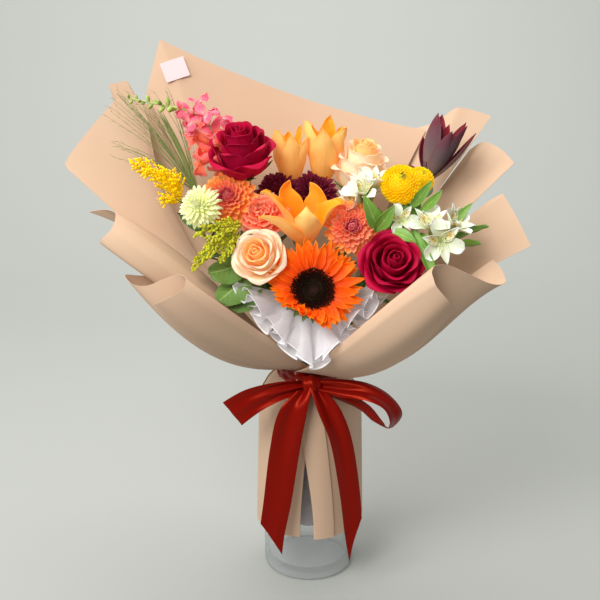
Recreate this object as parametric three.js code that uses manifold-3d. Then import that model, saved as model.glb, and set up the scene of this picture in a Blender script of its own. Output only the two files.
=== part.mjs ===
// A mixed flower bouquet, wrapped in matte paper, tied with a satin ribbon and standing in a glass
// cylinder vase. Millimetres, +Z up, the front of the bouquet faces -Y. The origin is the middle of
// the vase's foot, on the surface that it stands on.

import * as THREE from 'three';
import { mergeVertices } from 'three/addons/utils/BufferGeometryUtils.js';
import Module from 'manifold-3d';

// ---------------------------------------------------------------- driving dimensions

const VASE_RADIUS = 55;
const VASE_HEIGHT = 226;
const VASE_WALL = 3.5;
const VASE_BASE = 12;            // thickness of the foot
const VASE_HEEL = 6;             // width of the rounded edges of the foot, outside and inside

const TIE_TOP = 272;             // the ribbon grips the paper from here
const TIE_BOTTOM = 259;          // down to here
const HEM_HEIGHT = 68;           // lower edge of the paper skirt
const NECK_RADIUS = 33;          // radius of the innermost paper layer at the tie
const NECK_PITCH = 2;            // radial step from one paper layer to the next at the tie
const PAPER = 0.5;               // thickness of a sheet with its soft folds

const CARD = 0.6;                // thickness of the card

const RIBBON = 1.4;              // thickness of the ribbon
const ORGANZA = 3;               // thickness of the gathered organza

const STEM_FOOT_HEIGHT = 86;     // cut ends of the stems, inside the liner
const STEM_PITCH = 8.6;          // spacing of the stems where they pass the tie

const LINER_RADIUS = 31.4;
const LINER_WALL = 0.8;
const LINER_TOP = 274;
const LINER_SHOULDER = 84;       // the liner is straight above this height and rounded below it
const LINER_BOTTOM = 54;

const GAP = 0.4;                 // clearance between pieces that touch

// The skirt below the tie, as radius = base + pitch * layer at each height.
const SKIRT = [
  { z: TIE_TOP, base: NECK_RADIUS, pitch: NECK_PITCH },
  { z: TIE_BOTTOM, base: NECK_RADIUS, pitch: NECK_PITCH },
  { z: 246, base: 46.5, pitch: 1.5 },
  { z: 230, base: 55.6, pitch: 1.25 },
  { z: 205, base: 58.8, pitch: 1.2 },
  { z: 140, base: 60.4, pitch: 1.2 },
  { z: HEM_HEIGHT, base: 62, pitch: 1.2 },
];

// ---------------------------------------------------------------- colours

const FINISH = {
  glass: { color: 0xdfe8e6, roughness: 0.05, metalness: 0, transparent: true, opacity: 0.35 },
  paper: { color: 0xe3bd95, roughness: 0.75, metalness: 0 },
  liner: { color: 0xb9aeb0, roughness: 0.6, metalness: 0 },
  organza: { color: 0xe9e4e6, roughness: 0.6, metalness: 0 },
  satin: { color: 0xa8201a, roughness: 0.3, metalness: 0 },
  card: { color: 0xf3e3e2, roughness: 0.5, metalness: 0 },
  stem: { color: 0x6f9440, roughness: 0.6, metalness: 0 },
  leaf: { color: 0x4f8a35, roughness: 0.5, metalness: 0 },
  orangePetal: { color: 0xf5760c, roughness: 0.6, metalness: 0 },
  seedDisc: { color: 0x241410, roughness: 0.9, metalness: 0 },
  lily: { color: 0xff9a20, roughness: 0.5, metalness: 0 },
  crimson: { color: 0xa5082c, roughness: 0.5, metalness: 0 },
  peach: { color: 0xf7c38f, roughness: 0.5, metalness: 0 },
  dahlia: { color: 0xe5713f, roughness: 0.6, metalness: 0 },
  coral: { color: 0xee7d55, roughness: 0.6, metalness: 0 },
  burgundy: { color: 0x5a0d1c, roughness: 0.6, metalness: 0 },
  paleGreen: { color: 0xeef3a0, roughness: 0.6, metalness: 0 },
  yellow: { color: 0xf4c510, roughness: 0.7, metalness: 0 },
  yellowGreen: { color: 0xb7b520, roughness: 0.7, metalness: 0 },
  white: { color: 0xf2f0dc, roughness: 0.5, metalness: 0 },
  darkBract: { color: 0x4c1a22, roughness: 0.5, metalness: 0 },
  snapdragon: { color: 0xd9525c, roughness: 0.6, metalness: 0 },
  grass: { color: 0x7f9a45, roughness: 0.7, metalness: 0 },
};

// ---------------------------------------------------------------- helpers

const wasm = await Module();
wasm.setup();

const bouquet = new THREE.Group();

/** Adds one physical piece to the bouquet. */
function addPiece(name, geometry, finish) {
  const mesh = new THREE.Mesh(geometry, new THREE.MeshStandardMaterial(FINISH[finish]));
  mesh.name = name;
  bouquet.add(mesh);
}

const degrees = (angle) => angle * Math.PI / 180;

const vector = ([x, y, z]) => new THREE.Vector3(x, y, z);

/** Keeps only the positions of a geometry, with shared vertices merged. */
function welded(geometry) {
  const bare = geometry.clone();
  for (const name of Object.keys(bare.attributes)) {
    if (name !== 'position') bare.deleteAttribute(name);
  }
  return mergeVertices(bare, 1e-4);
}

/** Signed volume of a closed, welded geometry. */
function signedVolume(geometry) {
  const point = geometry.attributes.position;
  const index = geometry.index.array;
  const a = new THREE.Vector3();
  const b = new THREE.Vector3();
  const c = new THREE.Vector3();
  let volume = 0;
  for (let i = 0; i < index.length; i += 3) {
    a.fromBufferAttribute(point, index[i]);
    b.fromBufferAttribute(point, index[i + 1]);
    c.fromBufferAttribute(point, index[i + 2]);
    volume += a.dot(b.cross(c)) / 6;
  }
  return volume;
}

/** Turns a closed geometry's faces outwards, if they point inwards. */
function facingOut(geometry) {
  if (signedVolume(geometry) < 0) {
    const index = geometry.index.array;
    for (let i = 0; i < index.length; i += 3) {
      [index[i], index[i + 1]] = [index[i + 1], index[i]];
    }
  }
  geometry.computeVertexNormals();
  return geometry;
}

/** Joins closed geometries that overlap into one body. */
function joined(geometries) {
  const solids = geometries.map((geometry) => {
    const source = facingOut(welded(geometry));
    return new wasm.Manifold(new wasm.Mesh({
      numProp: 3,
      vertProperties: Float32Array.from(source.attributes.position.array),
      triVerts: Uint32Array.from(source.index.array),
    }));
  });
  const mesh = solids.reduce((whole, solid) => whole.add(solid)).getMesh();
  const geometry = new THREE.BufferGeometry();
  geometry.setAttribute('position', new THREE.BufferAttribute(mesh.vertProperties, 3));
  geometry.setIndex(new THREE.BufferAttribute(mesh.triVerts, 1));
  geometry.computeVertexNormals();
  return geometry;
}

/**
 * A thin closed solid that follows a surface.
 * surface(u, v) gives the middle of the sheet for u and v from 0 to 1.
 */
function thinSolid(surface, columns, rows, thickness) {
  const step = 1e-3;
  const positions = [];
  for (const side of [0.5, -0.5]) {
    for (let j = 0; j <= rows; j++) {
      for (let i = 0; i <= columns; i++) {
        const u = i / columns;
        const v = j / rows;
        const middle = surface(u, v);
        const across = surface(Math.min(u + step, 1), v).sub(surface(Math.max(u - step, 0), v));
        const along = surface(u, Math.min(v + step, 1)).sub(surface(u, Math.max(v - step, 0)));
        const normal = across.cross(along).normalize();
        positions.push(...middle.addScaledVector(normal, side * thickness).toArray());
      }
    }
  }
  const sideSize = (columns + 1) * (rows + 1);
  const at = (side, i, j) => side * sideSize + j * (columns + 1) + i;
  const index = [];
  const quad = (a, b, c, d) => index.push(a, b, c, a, c, d);
  // Both faces are split along the same diagonal, so that they stay apart where the sheet twists.
  for (let j = 0; j < rows; j++) {
    for (let i = 0; i < columns; i++) {
      quad(at(0, i, j), at(0, i + 1, j), at(0, i + 1, j + 1), at(0, i, j + 1));
      quad(at(1, i, j), at(1, i, j + 1), at(1, i + 1, j + 1), at(1, i + 1, j));
    }
  }
  for (let i = 0; i < columns; i++) {
    quad(at(1, i, 0), at(1, i + 1, 0), at(0, i + 1, 0), at(0, i, 0));
    quad(at(0, i, rows), at(0, i + 1, rows), at(1, i + 1, rows), at(1, i, rows));
  }
  for (let j = 0; j < rows; j++) {
    quad(at(0, 0, j), at(0, 0, j + 1), at(1, 0, j + 1), at(1, 0, j));
    quad(at(1, columns, j), at(1, columns, j + 1), at(0, columns, j + 1), at(0, columns, j));
  }
  const geometry = new THREE.BufferGeometry();
  geometry.setAttribute('position', new THREE.Float32BufferAttribute(positions, 3));
  geometry.setIndex(index);
  return facingOut(geometry);
}

/** A round tube with closed ends along a smooth curve through the points. */
function tube(points, radius, steps = 12, sides = 6) {
  const section = new THREE.Shape();
  for (let k = 0; k < sides; k++) {
    const angle = 2 * Math.PI * k / sides;
    const [x, y] = [radius * Math.cos(angle), radius * Math.sin(angle)];
    if (k === 0) section.moveTo(x, y);
    else section.lineTo(x, y);
  }
  section.closePath();
  const path = new THREE.CatmullRomCurve3(points, false, 'centripetal');
  const solid = new THREE.ExtrudeGeometry(section, { steps, extrudePath: path, bevelEnabled: false });
  return facingOut(welded(solid));
}

/** Turns a geometry's +Z axis to a direction and moves its origin to a place. */
function aimed(geometry, place, direction) {
  const turn = new THREE.Quaternion().setFromUnitVectors(
    new THREE.Vector3(0, 0, 1), vector(direction).normalize());
  return geometry.applyQuaternion(turn).translate(...place);
}

/** A solid of revolution about Z from [radius, height] pairs that start and end on the axis. */
function turned(profile, segments) {
  const points = profile.map(([radius, height]) => new THREE.Vector2(radius, height));
  return facingOut(welded(new THREE.LatheGeometry(points, segments).rotateX(Math.PI / 2)));
}

// ---------------------------------------------------------------- vase and liner

function glassVase() {
  const inner = VASE_RADIUS - VASE_WALL;
  return turned([
    [0, 0],
    [VASE_RADIUS - VASE_HEEL, 0],
    [VASE_RADIUS - VASE_HEEL / 4, VASE_HEEL / 3],
    [VASE_RADIUS, VASE_HEEL],
    [VASE_RADIUS, VASE_HEIGHT],
    [inner, VASE_HEIGHT],
    [inner, VASE_BASE + VASE_HEEL],
    [inner - VASE_HEEL, VASE_BASE],
    [0, VASE_BASE],
  ], 40);
}

/** The sleeve round the stems: closed below, open above, where the stems leave it. */
function stemLiner() {
  const inner = LINER_RADIUS - LINER_WALL;
  return turned([
    [0, LINER_BOTTOM],
    [0.57 * LINER_RADIUS, LINER_BOTTOM + 2],
    [0.86 * LINER_RADIUS, LINER_BOTTOM + 10],
    [LINER_RADIUS, LINER_SHOULDER],
    [LINER_RADIUS, LINER_TOP],
    [inner, LINER_TOP],
    [inner, LINER_SHOULDER],
    [0.83 * LINER_RADIUS, LINER_BOTTOM + 11.5],
    [0.54 * LINER_RADIUS, LINER_BOTTOM + 3.5],
    [0, LINER_BOTTOM + 1.5],
  ], 24);
}

// ---------------------------------------------------------------- wrapping paper

/** Radius of a paper layer at a height below the tie. */
function skirtRadius(layer, z) {
  for (let k = 1; k < SKIRT.length; k++) {
    const [upper, lower] = [SKIRT[k - 1], SKIRT[k]];
    if (z >= lower.z - 1e-6) {
      const part = (upper.z - z) / (upper.z - lower.z);
      return THREE.MathUtils.lerp(upper.base + upper.pitch * layer, lower.base + lower.pitch * layer, part);
    }
  }
  throw new Error('height below the hem');
}

/**
 * One wrapping sheet, from its hem through the tie to its far edge.
 * A rib is [end, mid, tie, hem, layer, swell]: the point on the far edge that it runs to, the point
 * half way there from the tie, its angles round the tie and round the hem in degrees, its paper
 * layer, and how much the sheet bellies out over the ribbon, 0 if that is left out.
 */
class WrapSheet {
  constructor(ribs) {
    this.ribs = ribs.map(([end, mid, tie, hem, layer, swell = 0]) => (
      [...end, ...mid, tie, hem, layer, swell]));
    const ends = ribs.map(([end]) => vector(end));
    const marks = [0];
    for (let k = 1; k < ends.length; k++) marks.push(marks[k - 1] + ends[k].distanceTo(ends[k - 1]));
    this.marks = marks.map((mark) => mark / marks.at(-1));
  }

  /** The rib at u, smoothly blended between the listed ones, which lie at even steps of u. */
  rib(u) {
    const { ribs, marks } = this;
    const place = u * (ribs.length - 1);
    const k = Math.min(Math.floor(place), ribs.length - 2);
    const t = place - k;
    const span = marks[k + 1] - marks[k];
    const slope = (m, c) => {
      const low = Math.max(m - 1, 0);
      const high = Math.min(m + 1, marks.length - 1);
      return (ribs[high][c] - ribs[low][c]) / (marks[high] - marks[low]) * span;
    };
    const values = ribs[k].map((start, c) => {
      const end = ribs[k + 1][c];
      const [t2, t3] = [t * t, t * t * t];
      return (2 * t3 - 3 * t2 + 1) * start + (t3 - 2 * t2 + t) * slope(k, c)
        + (3 * t2 - 2 * t3) * end + (t3 - t2) * slope(k + 1, c);
    });
    const [endX, endY, endZ, midX, midY, midZ, tie, hem, layer, swell] = values;
    return {
      end: new THREE.Vector3(endX, endY, endZ),
      mid: new THREE.Vector3(midX, midY, midZ),
      tie: degrees(tie),
      hem: degrees(hem),
      layer,
      swell,
    };
  }

  /** The surface above the tie: v is 0 at the tie and 1 at the far edge. */
  above(u, v) {
    const { end, mid, tie, layer, swell } = this.rib(u);
    const radial = new THREE.Vector3(Math.cos(tie), Math.sin(tie), 0);
    const neck = radial.clone().multiplyScalar(NECK_RADIUS + NECK_PITCH * layer);
    neck.z = TIE_TOP;
    // A parabola through the three points, as the handles of a cubic.
    const apex = mid.clone().multiplyScalar(2).addScaledVector(neck, -0.5).addScaledVector(end, -0.5);
    const first = neck.clone().lerp(apex, 2 / 3);
    const second = end.clone().lerp(apex, 2 / 3);
    // The belly moves the first handle out and down, and the second one back, so mid stays put.
    const belly = radial.multiplyScalar(0.6 * swell);
    belly.z -= swell;
    first.add(belly);
    second.sub(belly);
    const w = 1 - v;
    return neck.multiplyScalar(w ** 3)
      .addScaledVector(first, 3 * v * w * w)
      .addScaledVector(second, 3 * v * v * w)
      .addScaledVector(end, v ** 3);
  }

  /** The gripped neck and the skirt below it, at a height. */
  below(u, z) {
    const { tie, hem, layer } = this.rib(u);
    const part = Math.min((TIE_TOP - z) / (TIE_BOTTOM - HEM_HEIGHT), 1);
    const angle = hem + (tie - hem) * (1 - part) ** 3;
    const radius = skirtRadius(layer, z);
    return new THREE.Vector3(radius * Math.cos(angle), radius * Math.sin(angle), z);
  }

  /** The whole sheet: v runs from the hem up through the skirt's rows, then to the far edge. */
  surface(rowsAbove) {
    const rowsBelow = SKIRT.length - 1;
    const rows = rowsBelow + rowsAbove;
    return (u, v) => {
      const row = v * rows;
      if (row > rowsBelow) return this.above(u, (row - rowsBelow) / rowsAbove);
      const k = Math.min(Math.floor(row), rowsBelow - 1);
      const lower = SKIRT[rowsBelow - k].z;
      const upper = SKIRT[rowsBelow - k - 1].z;
      return this.below(u, THREE.MathUtils.lerp(lower, upper, row - k));
    };
  }

  /** The sheet as a solid, with its columns on the ribs and evenly between them. */
  solid(columnsPerRib, rowsAbove = 6) {
    const columns = columnsPerRib * (this.ribs.length - 1);
    return thinSolid(this.surface(rowsAbove), columns, SKIRT.length - 1 + rowsAbove, PAPER);
  }
}

const backSheet = new WrapSheet([
  [[-192, 85, 570], [-112, 50, 425], 140, 140, 0],
  [[-175, 100, 632], [-98, 58, 450], 130, 130, 0],
  [[-114, 112, 602], [-62, 70, 440], 116, 118, 0],
  [[-11, 120, 562], [-6, 78, 425], 92, 92, 0],
  [[74, 112, 538], [42, 72, 415], 74, 72, 0],
  [[140, 98, 525], [80, 62, 408], 58, 55, 0],
]);

const backLeftSheet = new WrapSheet([
  [[-222, 58, 552], [-138, 36, 405], 160, 166, 2],
  [[-232, 66, 584], [-138, 42, 415], 156, 160, 2],
  [[-211, 68, 588], [-126, 46, 420], 149, 150, 2],
  [[-196, 76, 561], [-116, 53, 414], 144, 142, 2],
  [[-178, 88, 532], [-104, 62, 408], 137, 134, 2],
]);

const leftUpperSheet = new WrapSheet([
  [[-274, 0, 506], [-141, -12, 390], 195, 196, 1],
  [[-250, 18, 538], [-147, 0, 406], 186, 186, 1],
  [[-220, 33, 571], [-149, 8, 416], 176, 174, 1],
  [[-197, 38, 575], [-146, 14, 416], 168, 162, 1],
  [[-184, 34, 548], [-140, 20, 408], 160, 150, 1],
]);

// A pleat turns back round three close ribs, and its two legs lie one paper layer or more apart.
const leftMiddleSheet = new WrapSheet([
  [[-246, -28, 456], [-134, -38, 394], 218, 216, 2],
  [[-225, -42, 462], [-124, -50, 396], 226, 222, 2],
  [[-212, -56, 462], [-115, -62, 392], 234, 228, 2],
  [[-210, -66, 458], [-114, -74, 386], 235.4, 228.8, 2.5],
  [[-211, -73, 453], [-117, -78, 381], 234, 228, 3],
  [[-215, -78, 447], [-122, -80, 376], 229, 222, 3],
  [[-225, -82, 436], [-134, -74, 362], 214, 206, 3],
  [[-215, -66, 424], [-126, -52, 355], 202, 194, 3],
]);

const leftFrontSheet = new WrapSheet([
  [[-168, -48, 386], [-100, -54, 318], 200, 200, 4],
  [[-192, -60, 392], [-118, -66, 316], 210, 206, 4, 6],
  [[-201, -76, 397], [-124, -80, 317], 220, 214, 4, 8],
  [[-191, -92, 392], [-118, -92, 316], 230, 222, 4, 8],
  [[-174, -104, 394], [-108, -102, 320], 242, 232, 4, 6],
  [[-155, -116, 405], [-94, -108, 333], 256, 244, 4],
  [[-137, -128, 414], [-78, -112, 350], 268, 254, 4],
  [[-130, -136, 414], [-70, -113, 354], 274.5, 260, 4],
  [[-128, -142, 412], [-67, -115, 356], 276, 260.6, 4.5],
  [[-129, -147, 407], [-68.5, -117.5, 352.5], 274.5, 260, 5],
  [[-133, -150, 403], [-72, -119, 348], 273, 257, 5],
  [[-153, -148, 391], [-90, -118, 332], 269, 249, 5],
  [[-163, -134, 383], [-102, -108, 319], 265, 241, 5],
]);

const rightUpperSheet = new WrapSheet([
  [[112, 122, 520], [64, 80, 404], 69, 70, 1],
  [[142, 106, 530], [82, 70, 404], 62, 64, 1],
  [[160, 82, 545], [93, 54, 404], 56, 58, 1],
  [[172, 72, 556], [99, 47, 408], 52, 54, 1],
  [[188, 66, 555], [105, 43, 408], 45, 46, 1],
  [[211, 56, 549], [111, 36, 404], 36, 34, 1],
]);

const rightMiddleSheet = new WrapSheet([
  [[189, 66, 508], [104, 46, 390], 45, 46, 2],
  [[204, 60, 518], [113, 37, 399], 35, 36, 2],
  [[221, 44, 513], [122, 28, 398], 25, 24, 2],
  [[233, 16, 502], [130, 14, 390], 14, 12, 2],
]);

const rightLowerSheet = new WrapSheet([
  [[203, -10, 465], [119, 2, 380], 14, 16, 3],
  [[216, -16, 474], [125, -8, 378], 6, 6, 3],
  [[230, -36, 450], [131, -22, 366], -6, -8, 3],
  [[243, -54, 424], [134, -34, 352], -20, -24, 3],
]);

const rightFrontSheet = new WrapSheet([
  [[201, -60, 410], [126, -56, 346], -22, -18, 4, 8],
  [[209, -68, 402], [131, -68, 340], -30, -24, 4, 14],
  [[212, -82, 391], [131, -80, 328], -40, -32, 4, 22],
  [[195, -98, 394], [124, -88, 318], -52, -42, 4, 24],
  [[168, -112, 409], [108, -98, 320], -64, -54, 5.2, 18],
  [[144, -122, 422], [80, -106, 332], -82, -66, 6.6, 10],
  [[129, -132, 425], [54, -112, 342], -101, -78, 7, 12],
  [[126, -138, 424], [47.5, -115.5, 343], -109, -84.6, 7.2, 13],
  [[124, -144, 421], [43, -119, 343], -110.8, -85.2, 7.75, 13],
  [[125.3, -148.5, 416], [45.5, -123, 341], -109, -84.6, 8.3, 13],
  [[128, -152, 409], [50, -126, 337], -105, -82, 8.3, 12],
  [[141, -150, 393], [70, -126, 322], -94, -74, 8.3, 6],
  [[152, -136, 380], [94, -114, 309], -82, -66, 8.3, 12],
]);

// The card's corners as places on the back sheet: across it, and from the tie to its far edge.
const CARD_CORNERS = [[0.142, 0.882], [0.28, 0.89], [0.142, 0.94], [0.278, 0.944]];

/** The small card, stuck flat on the inner side of the back sheet near its top corner. */
function giftCard() {
  const corners = CARD_CORNERS.map(([u, v]) => new THREE.Vector2(u, v));
  const [lowerLeft, lowerRight, upperLeft, upperRight] = corners;
  const step = 0.01;
  const surface = (s, t) => {
    const lower = lowerLeft.clone().lerp(lowerRight, s);
    const upper = upperLeft.clone().lerp(upperRight, s);
    const { x: u, y: v } = lower.lerp(upper, t);
    const middle = backSheet.above(u, v);
    const across = backSheet.above(u + step, v).sub(middle);
    const along = backSheet.above(u, v + step).sub(middle);
    return middle.addScaledVector(across.cross(along).normalize(), (PAPER + CARD) / 2 + GAP);
  };
  return thinSolid(surface, 4, 3, CARD);
}

// ---------------------------------------------------------------- organza and ribbon

/** The gathered organza collar under the sunflower, between the flowers and the front sheets. */
function organzaRuffle() {
  const inner = new THREE.CatmullRomCurve3([
    [-34, -60, 354], [-22, -64, 338], [0, -66, 328], [24, -64, 338], [40, -60, 354],
  ].map(vector));
  const outer = new THREE.CatmullRomCurve3([
    [-74, -92, 390], [-50, -99, 362], [-24, -98, 334], [0, -98, 317], [26, -97, 340], [54, -98, 368],
    [86, -96, 390],
  ].map(vector));
  const surface = (u, v) => inner.getPoint(u).lerp(outer.getPoint(u), v);
  return thinSolid(surface, 16, 3, ORGANZA);
}

/** A length of ribbon: its middle line, and its width as a vector at each point. */
function ribbonStrip(points, widths, steps) {
  const line = new THREE.CatmullRomCurve3(points.map(vector));
  const spread = new THREE.CatmullRomCurve3(widths.map(vector));
  const surface = (u, v) => line.getPoint(u).addScaledVector(spread.getPoint(u), v - 0.5);
  return thinSolid(surface, steps, 2, RIBBON);
}

/** The gathered band round the tie, the knot, two loops and two tails: one length of ribbon. */
function satinRibbon() {
  const inner = NECK_RADIUS + NECK_PITCH * 8.4 + GAP;
  const [low, high] = [TIE_BOTTOM + 1, TIE_TOP - 1];
  const corners = [[inner, low], [inner + RIBBON, low], [inner + RIBBON, high], [inner, high], [inner, low]];
  const band = new THREE.LatheGeometry(corners.map(([r, z]) => new THREE.Vector2(r, z)), 36);
  band.rotateX(Math.PI / 2);
  const knot = new THREE.SphereGeometry(1, 12, 8).scale(16, 11, 11).translate(2, -62, 262);
  const leftLoop = ribbonStrip(
    [[-4, -64, 262], [-36, -76, 263], [-70, -84, 254], [-90, -84, 238], [-74, -77, 244], [-40, -68, 256],
      [-4, -60, 260]],
    [[0, 3, 14], [1, 3, 24], [6, 2, 32], [12, 0, 30], [8, -2, 30], [2, -3, 22], [0, -3, 14]], 16);
  const rightLoop = ribbonStrip(
    [[8, -64, 262], [40, -76, 265], [76, -84, 257], [98, -88, 238], [88, -84, 228], [66, -77, 244],
      [36, -68, 256], [8, -60, 260]],
    [[0, 3, 14], [0, 5, 18], [4, 8, 24], [12, 8, 24], [10, -4, 24], [2, -6, 22], [0, -4, 18], [0, -3, 14]],
    18);
  const leftTail = ribbonStrip(
    [[-4, -69, 258], [-14, -78, 232], [-26, -82, 180], [-36, -84, 120], [-44, -85, 76]],
    [[16, 0, 6], [30, 0, 6], [34, 0, 4], [32, 0, 4], [30, 0, -12]], 9);
  const rightTail = ribbonStrip(
    [[8, -69, 258], [20, -78, 236], [36, -82, 190], [47, -84, 130], [52, -85, 82]],
    [[16, 0, -4], [26, 0, -4], [31, 0, -4], [26, 0, -8], [22, 0, 20]], 9);
  return joined([band, knot, leftLoop, rightLoop, leftTail, rightTail]);
}

// ---------------------------------------------------------------- flowers

/** Where a stem passes the tie, on a hexagonal grid: half columns lie on the odd rows. */
function tiePoint([column, row]) {
  return new THREE.Vector3(column * STEM_PITCH, row * STEM_PITCH * Math.sqrt(3) / 2, TIE_TOP);
}

/** The points of a stem from its cut foot through its place in the tie to a flower's back. */
function stemPoints(slot, back, facing = [0, 0, 1], bend = 8) {
  const top = tiePoint(slot);
  const end = vector(back);
  const before = end.clone().addScaledVector(vector(facing).normalize(), -bend);
  const foot = new THREE.Vector3(top.x, top.y, STEM_FOOT_HEIGHT);
  const half = new THREE.Vector3(top.x, top.y, (STEM_FOOT_HEIGHT + TIE_TOP) / 2);
  return [foot, half, top, top.clone().lerp(before, 0.5), before, end];
}

/** A rounded flower head, opening along +Z, with its middle at the origin. */
function roundHead(radius, depth, segments = 12) {
  return turned([
    [0, -0.5 * depth],
    [0.4 * radius, -0.46 * depth],
    [0.88 * radius, -0.15 * depth],
    [radius, 0.12 * depth],
    [0.78 * radius, 0.4 * depth],
    [0.4 * radius, 0.5 * depth],
    [0, 0.5 * depth],
  ], segments);
}

/** An open funnel of petals, from its narrow base at the origin along +Z. */
function trumpet(radius, length, segments = 12) {
  return turned([
    [0, 0],
    [4, 0],
    [0.3 * radius, 0.3 * length],
    [0.75 * radius, 0.66 * length],
    [radius, length],
    [0.5 * radius, 0.8 * length],
    [0, 0.6 * length],
  ], segments);
}

/** The point where a stem ends, just behind a head. */
function behind(middle, facing, distance) {
  return vector(middle).addScaledVector(vector(facing).normalize(), -distance).toArray();
}

/** A head with its own stem. */
function addFlower(name, { middle, facing, radius, depth, finish, stemRadius, slot }) {
  addPiece(name, aimed(roundHead(radius, depth), middle, facing), finish);
  const back = behind(middle, facing, depth / 2 + GAP);
  addPiece(`${name}_stem`, tube(stemPoints(slot, back, facing, 14), stemRadius), 'stem');
}

/** A stem that forks: its main run ends at the fork, and a branch runs from there to each head. */
function forkedStem(slot, fork, heads, radius) {
  const main = tube(stemPoints(slot, fork), radius);
  const start = vector(fork).add(new THREE.Vector3(0, 0, -4));
  const branches = heads.map(({ back, facing }) => {
    const end = vector(back);
    const before = end.clone().addScaledVector(vector(facing).normalize(), -10);
    const middle = start.clone().lerp(before, 0.5);
    return tube([start, middle, before, end], radius * 0.7, 6);
  });
  return joined([main, ...branches]);
}

const SINGLE_FLOWERS = {
  rose_crimson_left: {
    middle: [-69, -43, 530], facing: [-0.2, -0.6, 0.75], radius: 33, depth: 52, finish: 'crimson',
    stemRadius: 2.6, slot: [-1, 0],
  },
  rose_crimson_right: {
    middle: [88, -98, 417], facing: [0.15, -0.85, 0.5], radius: 31, depth: 42, finish: 'crimson',
    stemRadius: 2.6, slot: [1.5, -3],
  },
  rose_peach_front: {
    middle: [-58, -98, 428], facing: [-0.1, -0.9, 0.4], radius: 27, depth: 46, finish: 'peach',
    stemRadius: 2.6, slot: [-1.5, -3],
  },
  rose_peach_back: {
    middle: [59, 0, 510], facing: [0.1, -0.5, 0.85], radius: 29, depth: 50, finish: 'peach',
    stemRadius: 2.6, slot: [1, 0],
  },
  dahlia_left: {
    middle: [-88, -59, 480], facing: [-0.15, -0.85, 0.45], radius: 26, depth: 26, finish: 'dahlia',
    stemRadius: 2.2, slot: [-1.5, -1],
  },
  dahlia_right: {
    middle: [45, -70, 448], facing: [0.1, -0.9, 0.4], radius: 25, depth: 24, finish: 'dahlia',
    stemRadius: 2.2, slot: [1, -2],
  },
  carnation_coral: {
    middle: [-51, -62, 461], facing: [-0.1, -0.8, 0.6], radius: 17, depth: 22, finish: 'coral',
    stemRadius: 1.8, slot: [-1, -2],
  },
  carnation_pale_green: {
    middle: [-117, -88, 470], facing: [-0.3, -0.85, 0.45], radius: 21, depth: 26, finish: 'paleGreen',
    stemRadius: 1.8, slot: [-2.5, -1],
  },
};

/** The sunflower: a dish of ray florets round a dark disc, on a thick stem. */
function addSunflower() {
  const middle = [3, -104, 389];
  const facing = [0, -0.95, 0.32];
  const rays = turned([
    [0, -11], [12, -11], [26, -5], [43, 3], [43, 5], [23.5, 1.5], [23, -3], [0, -3],
  ], 20);
  const disc = turned([[0, -2.4], [22, -2.4], [22.4, 2], [18, 5.5], [8, 6.5], [0, 6]], 16);
  addPiece('sunflower_rays', aimed(rays, middle, facing), 'orangePetal');
  addPiece('sunflower_disc', aimed(disc, middle, facing), 'seedDisc');
  const back = behind(middle, facing, 11 + GAP);
  addPiece('sunflower_stem', tube(stemPoints([0.5, -3], back, facing, 16), 3.4), 'stem');
}

/** One lily stem: an open bloom in front and two closed ones behind it. */
function addLilies() {
  const blooms = [
    { name: 'lily_front', base: [-6, -58, 424], facing: [0, -0.3, 0.95], radius: 34, length: 68 },
    { name: 'lily_back_left', base: [-24, 2, 487], facing: [-0.15, 0.08, 1], radius: 18, length: 56 },
    { name: 'lily_back_right', base: [14, 6, 487], facing: [0.15, 0.1, 1], radius: 19, length: 66 },
  ];
  for (const { name, base, facing, radius, length } of blooms) {
    addPiece(name, aimed(trumpet(radius, length), base, facing), 'lily');
  }
  const heads = blooms.map(({ base, facing }) => ({ facing, back: behind(base, facing, GAP) }));
  addPiece('lily_stem', forkedStem([0, -2], [-6, -34, 395], heads, 2.6), 'stem');
}

/** Several heads on one forked stem. */
function addSpray(name, finish, slot, fork, stemRadius, heads) {
  for (const { suffix, middle, facing, radius, depth } of heads) {
    addPiece(`${name}_${suffix}`, aimed(roundHead(radius, depth), middle, facing), finish);
  }
  const ends = heads.map(({ middle, facing, depth }) => (
    { facing, back: behind(middle, facing, depth / 2 + GAP) }));
  addPiece(`${name}_stem`, forkedStem(slot, fork, ends, stemRadius), 'stem');
}

/** A tapering plume or spike along a curved line of points, with a radius at each point. */
function plume(points, radii, steps = 10, sides = 8) {
  const path = new THREE.CatmullRomCurve3(points.map(vector), false, 'centripetal');
  const frames = path.computeFrenetFrames(steps, false);
  const positions = [];
  for (let k = 0; k <= steps; k++) {
    const along = k / steps;
    const place = path.getPointAt(along);
    const scaled = along * (radii.length - 1);
    const low = Math.min(Math.floor(scaled), radii.length - 2);
    const radius = THREE.MathUtils.lerp(radii[low], radii[low + 1], scaled - low);
    for (let s = 0; s < sides; s++) {
      const angle = 2 * Math.PI * s / sides;
      const point = place.clone()
        .addScaledVector(frames.normals[k], radius * Math.cos(angle))
        .addScaledVector(frames.binormals[k], radius * Math.sin(angle));
      positions.push(...point.toArray());
    }
  }
  const index = [];
  for (let k = 0; k < steps; k++) {
    for (let s = 0; s < sides; s++) {
      const [a, b] = [k * sides + s, k * sides + (s + 1) % sides];
      index.push(a, b, b + sides, a, b + sides, a + sides);
    }
  }
  const last = steps * sides;
  for (let s = 1; s < sides - 1; s++) {
    index.push(0, s + 1, s, last, last + s, last + s + 1);
  }
  const geometry = new THREE.BufferGeometry();
  geometry.setAttribute('position', new THREE.Float32BufferAttribute(positions, 3));
  geometry.setIndex(index);
  return facingOut(geometry);
}

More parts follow.
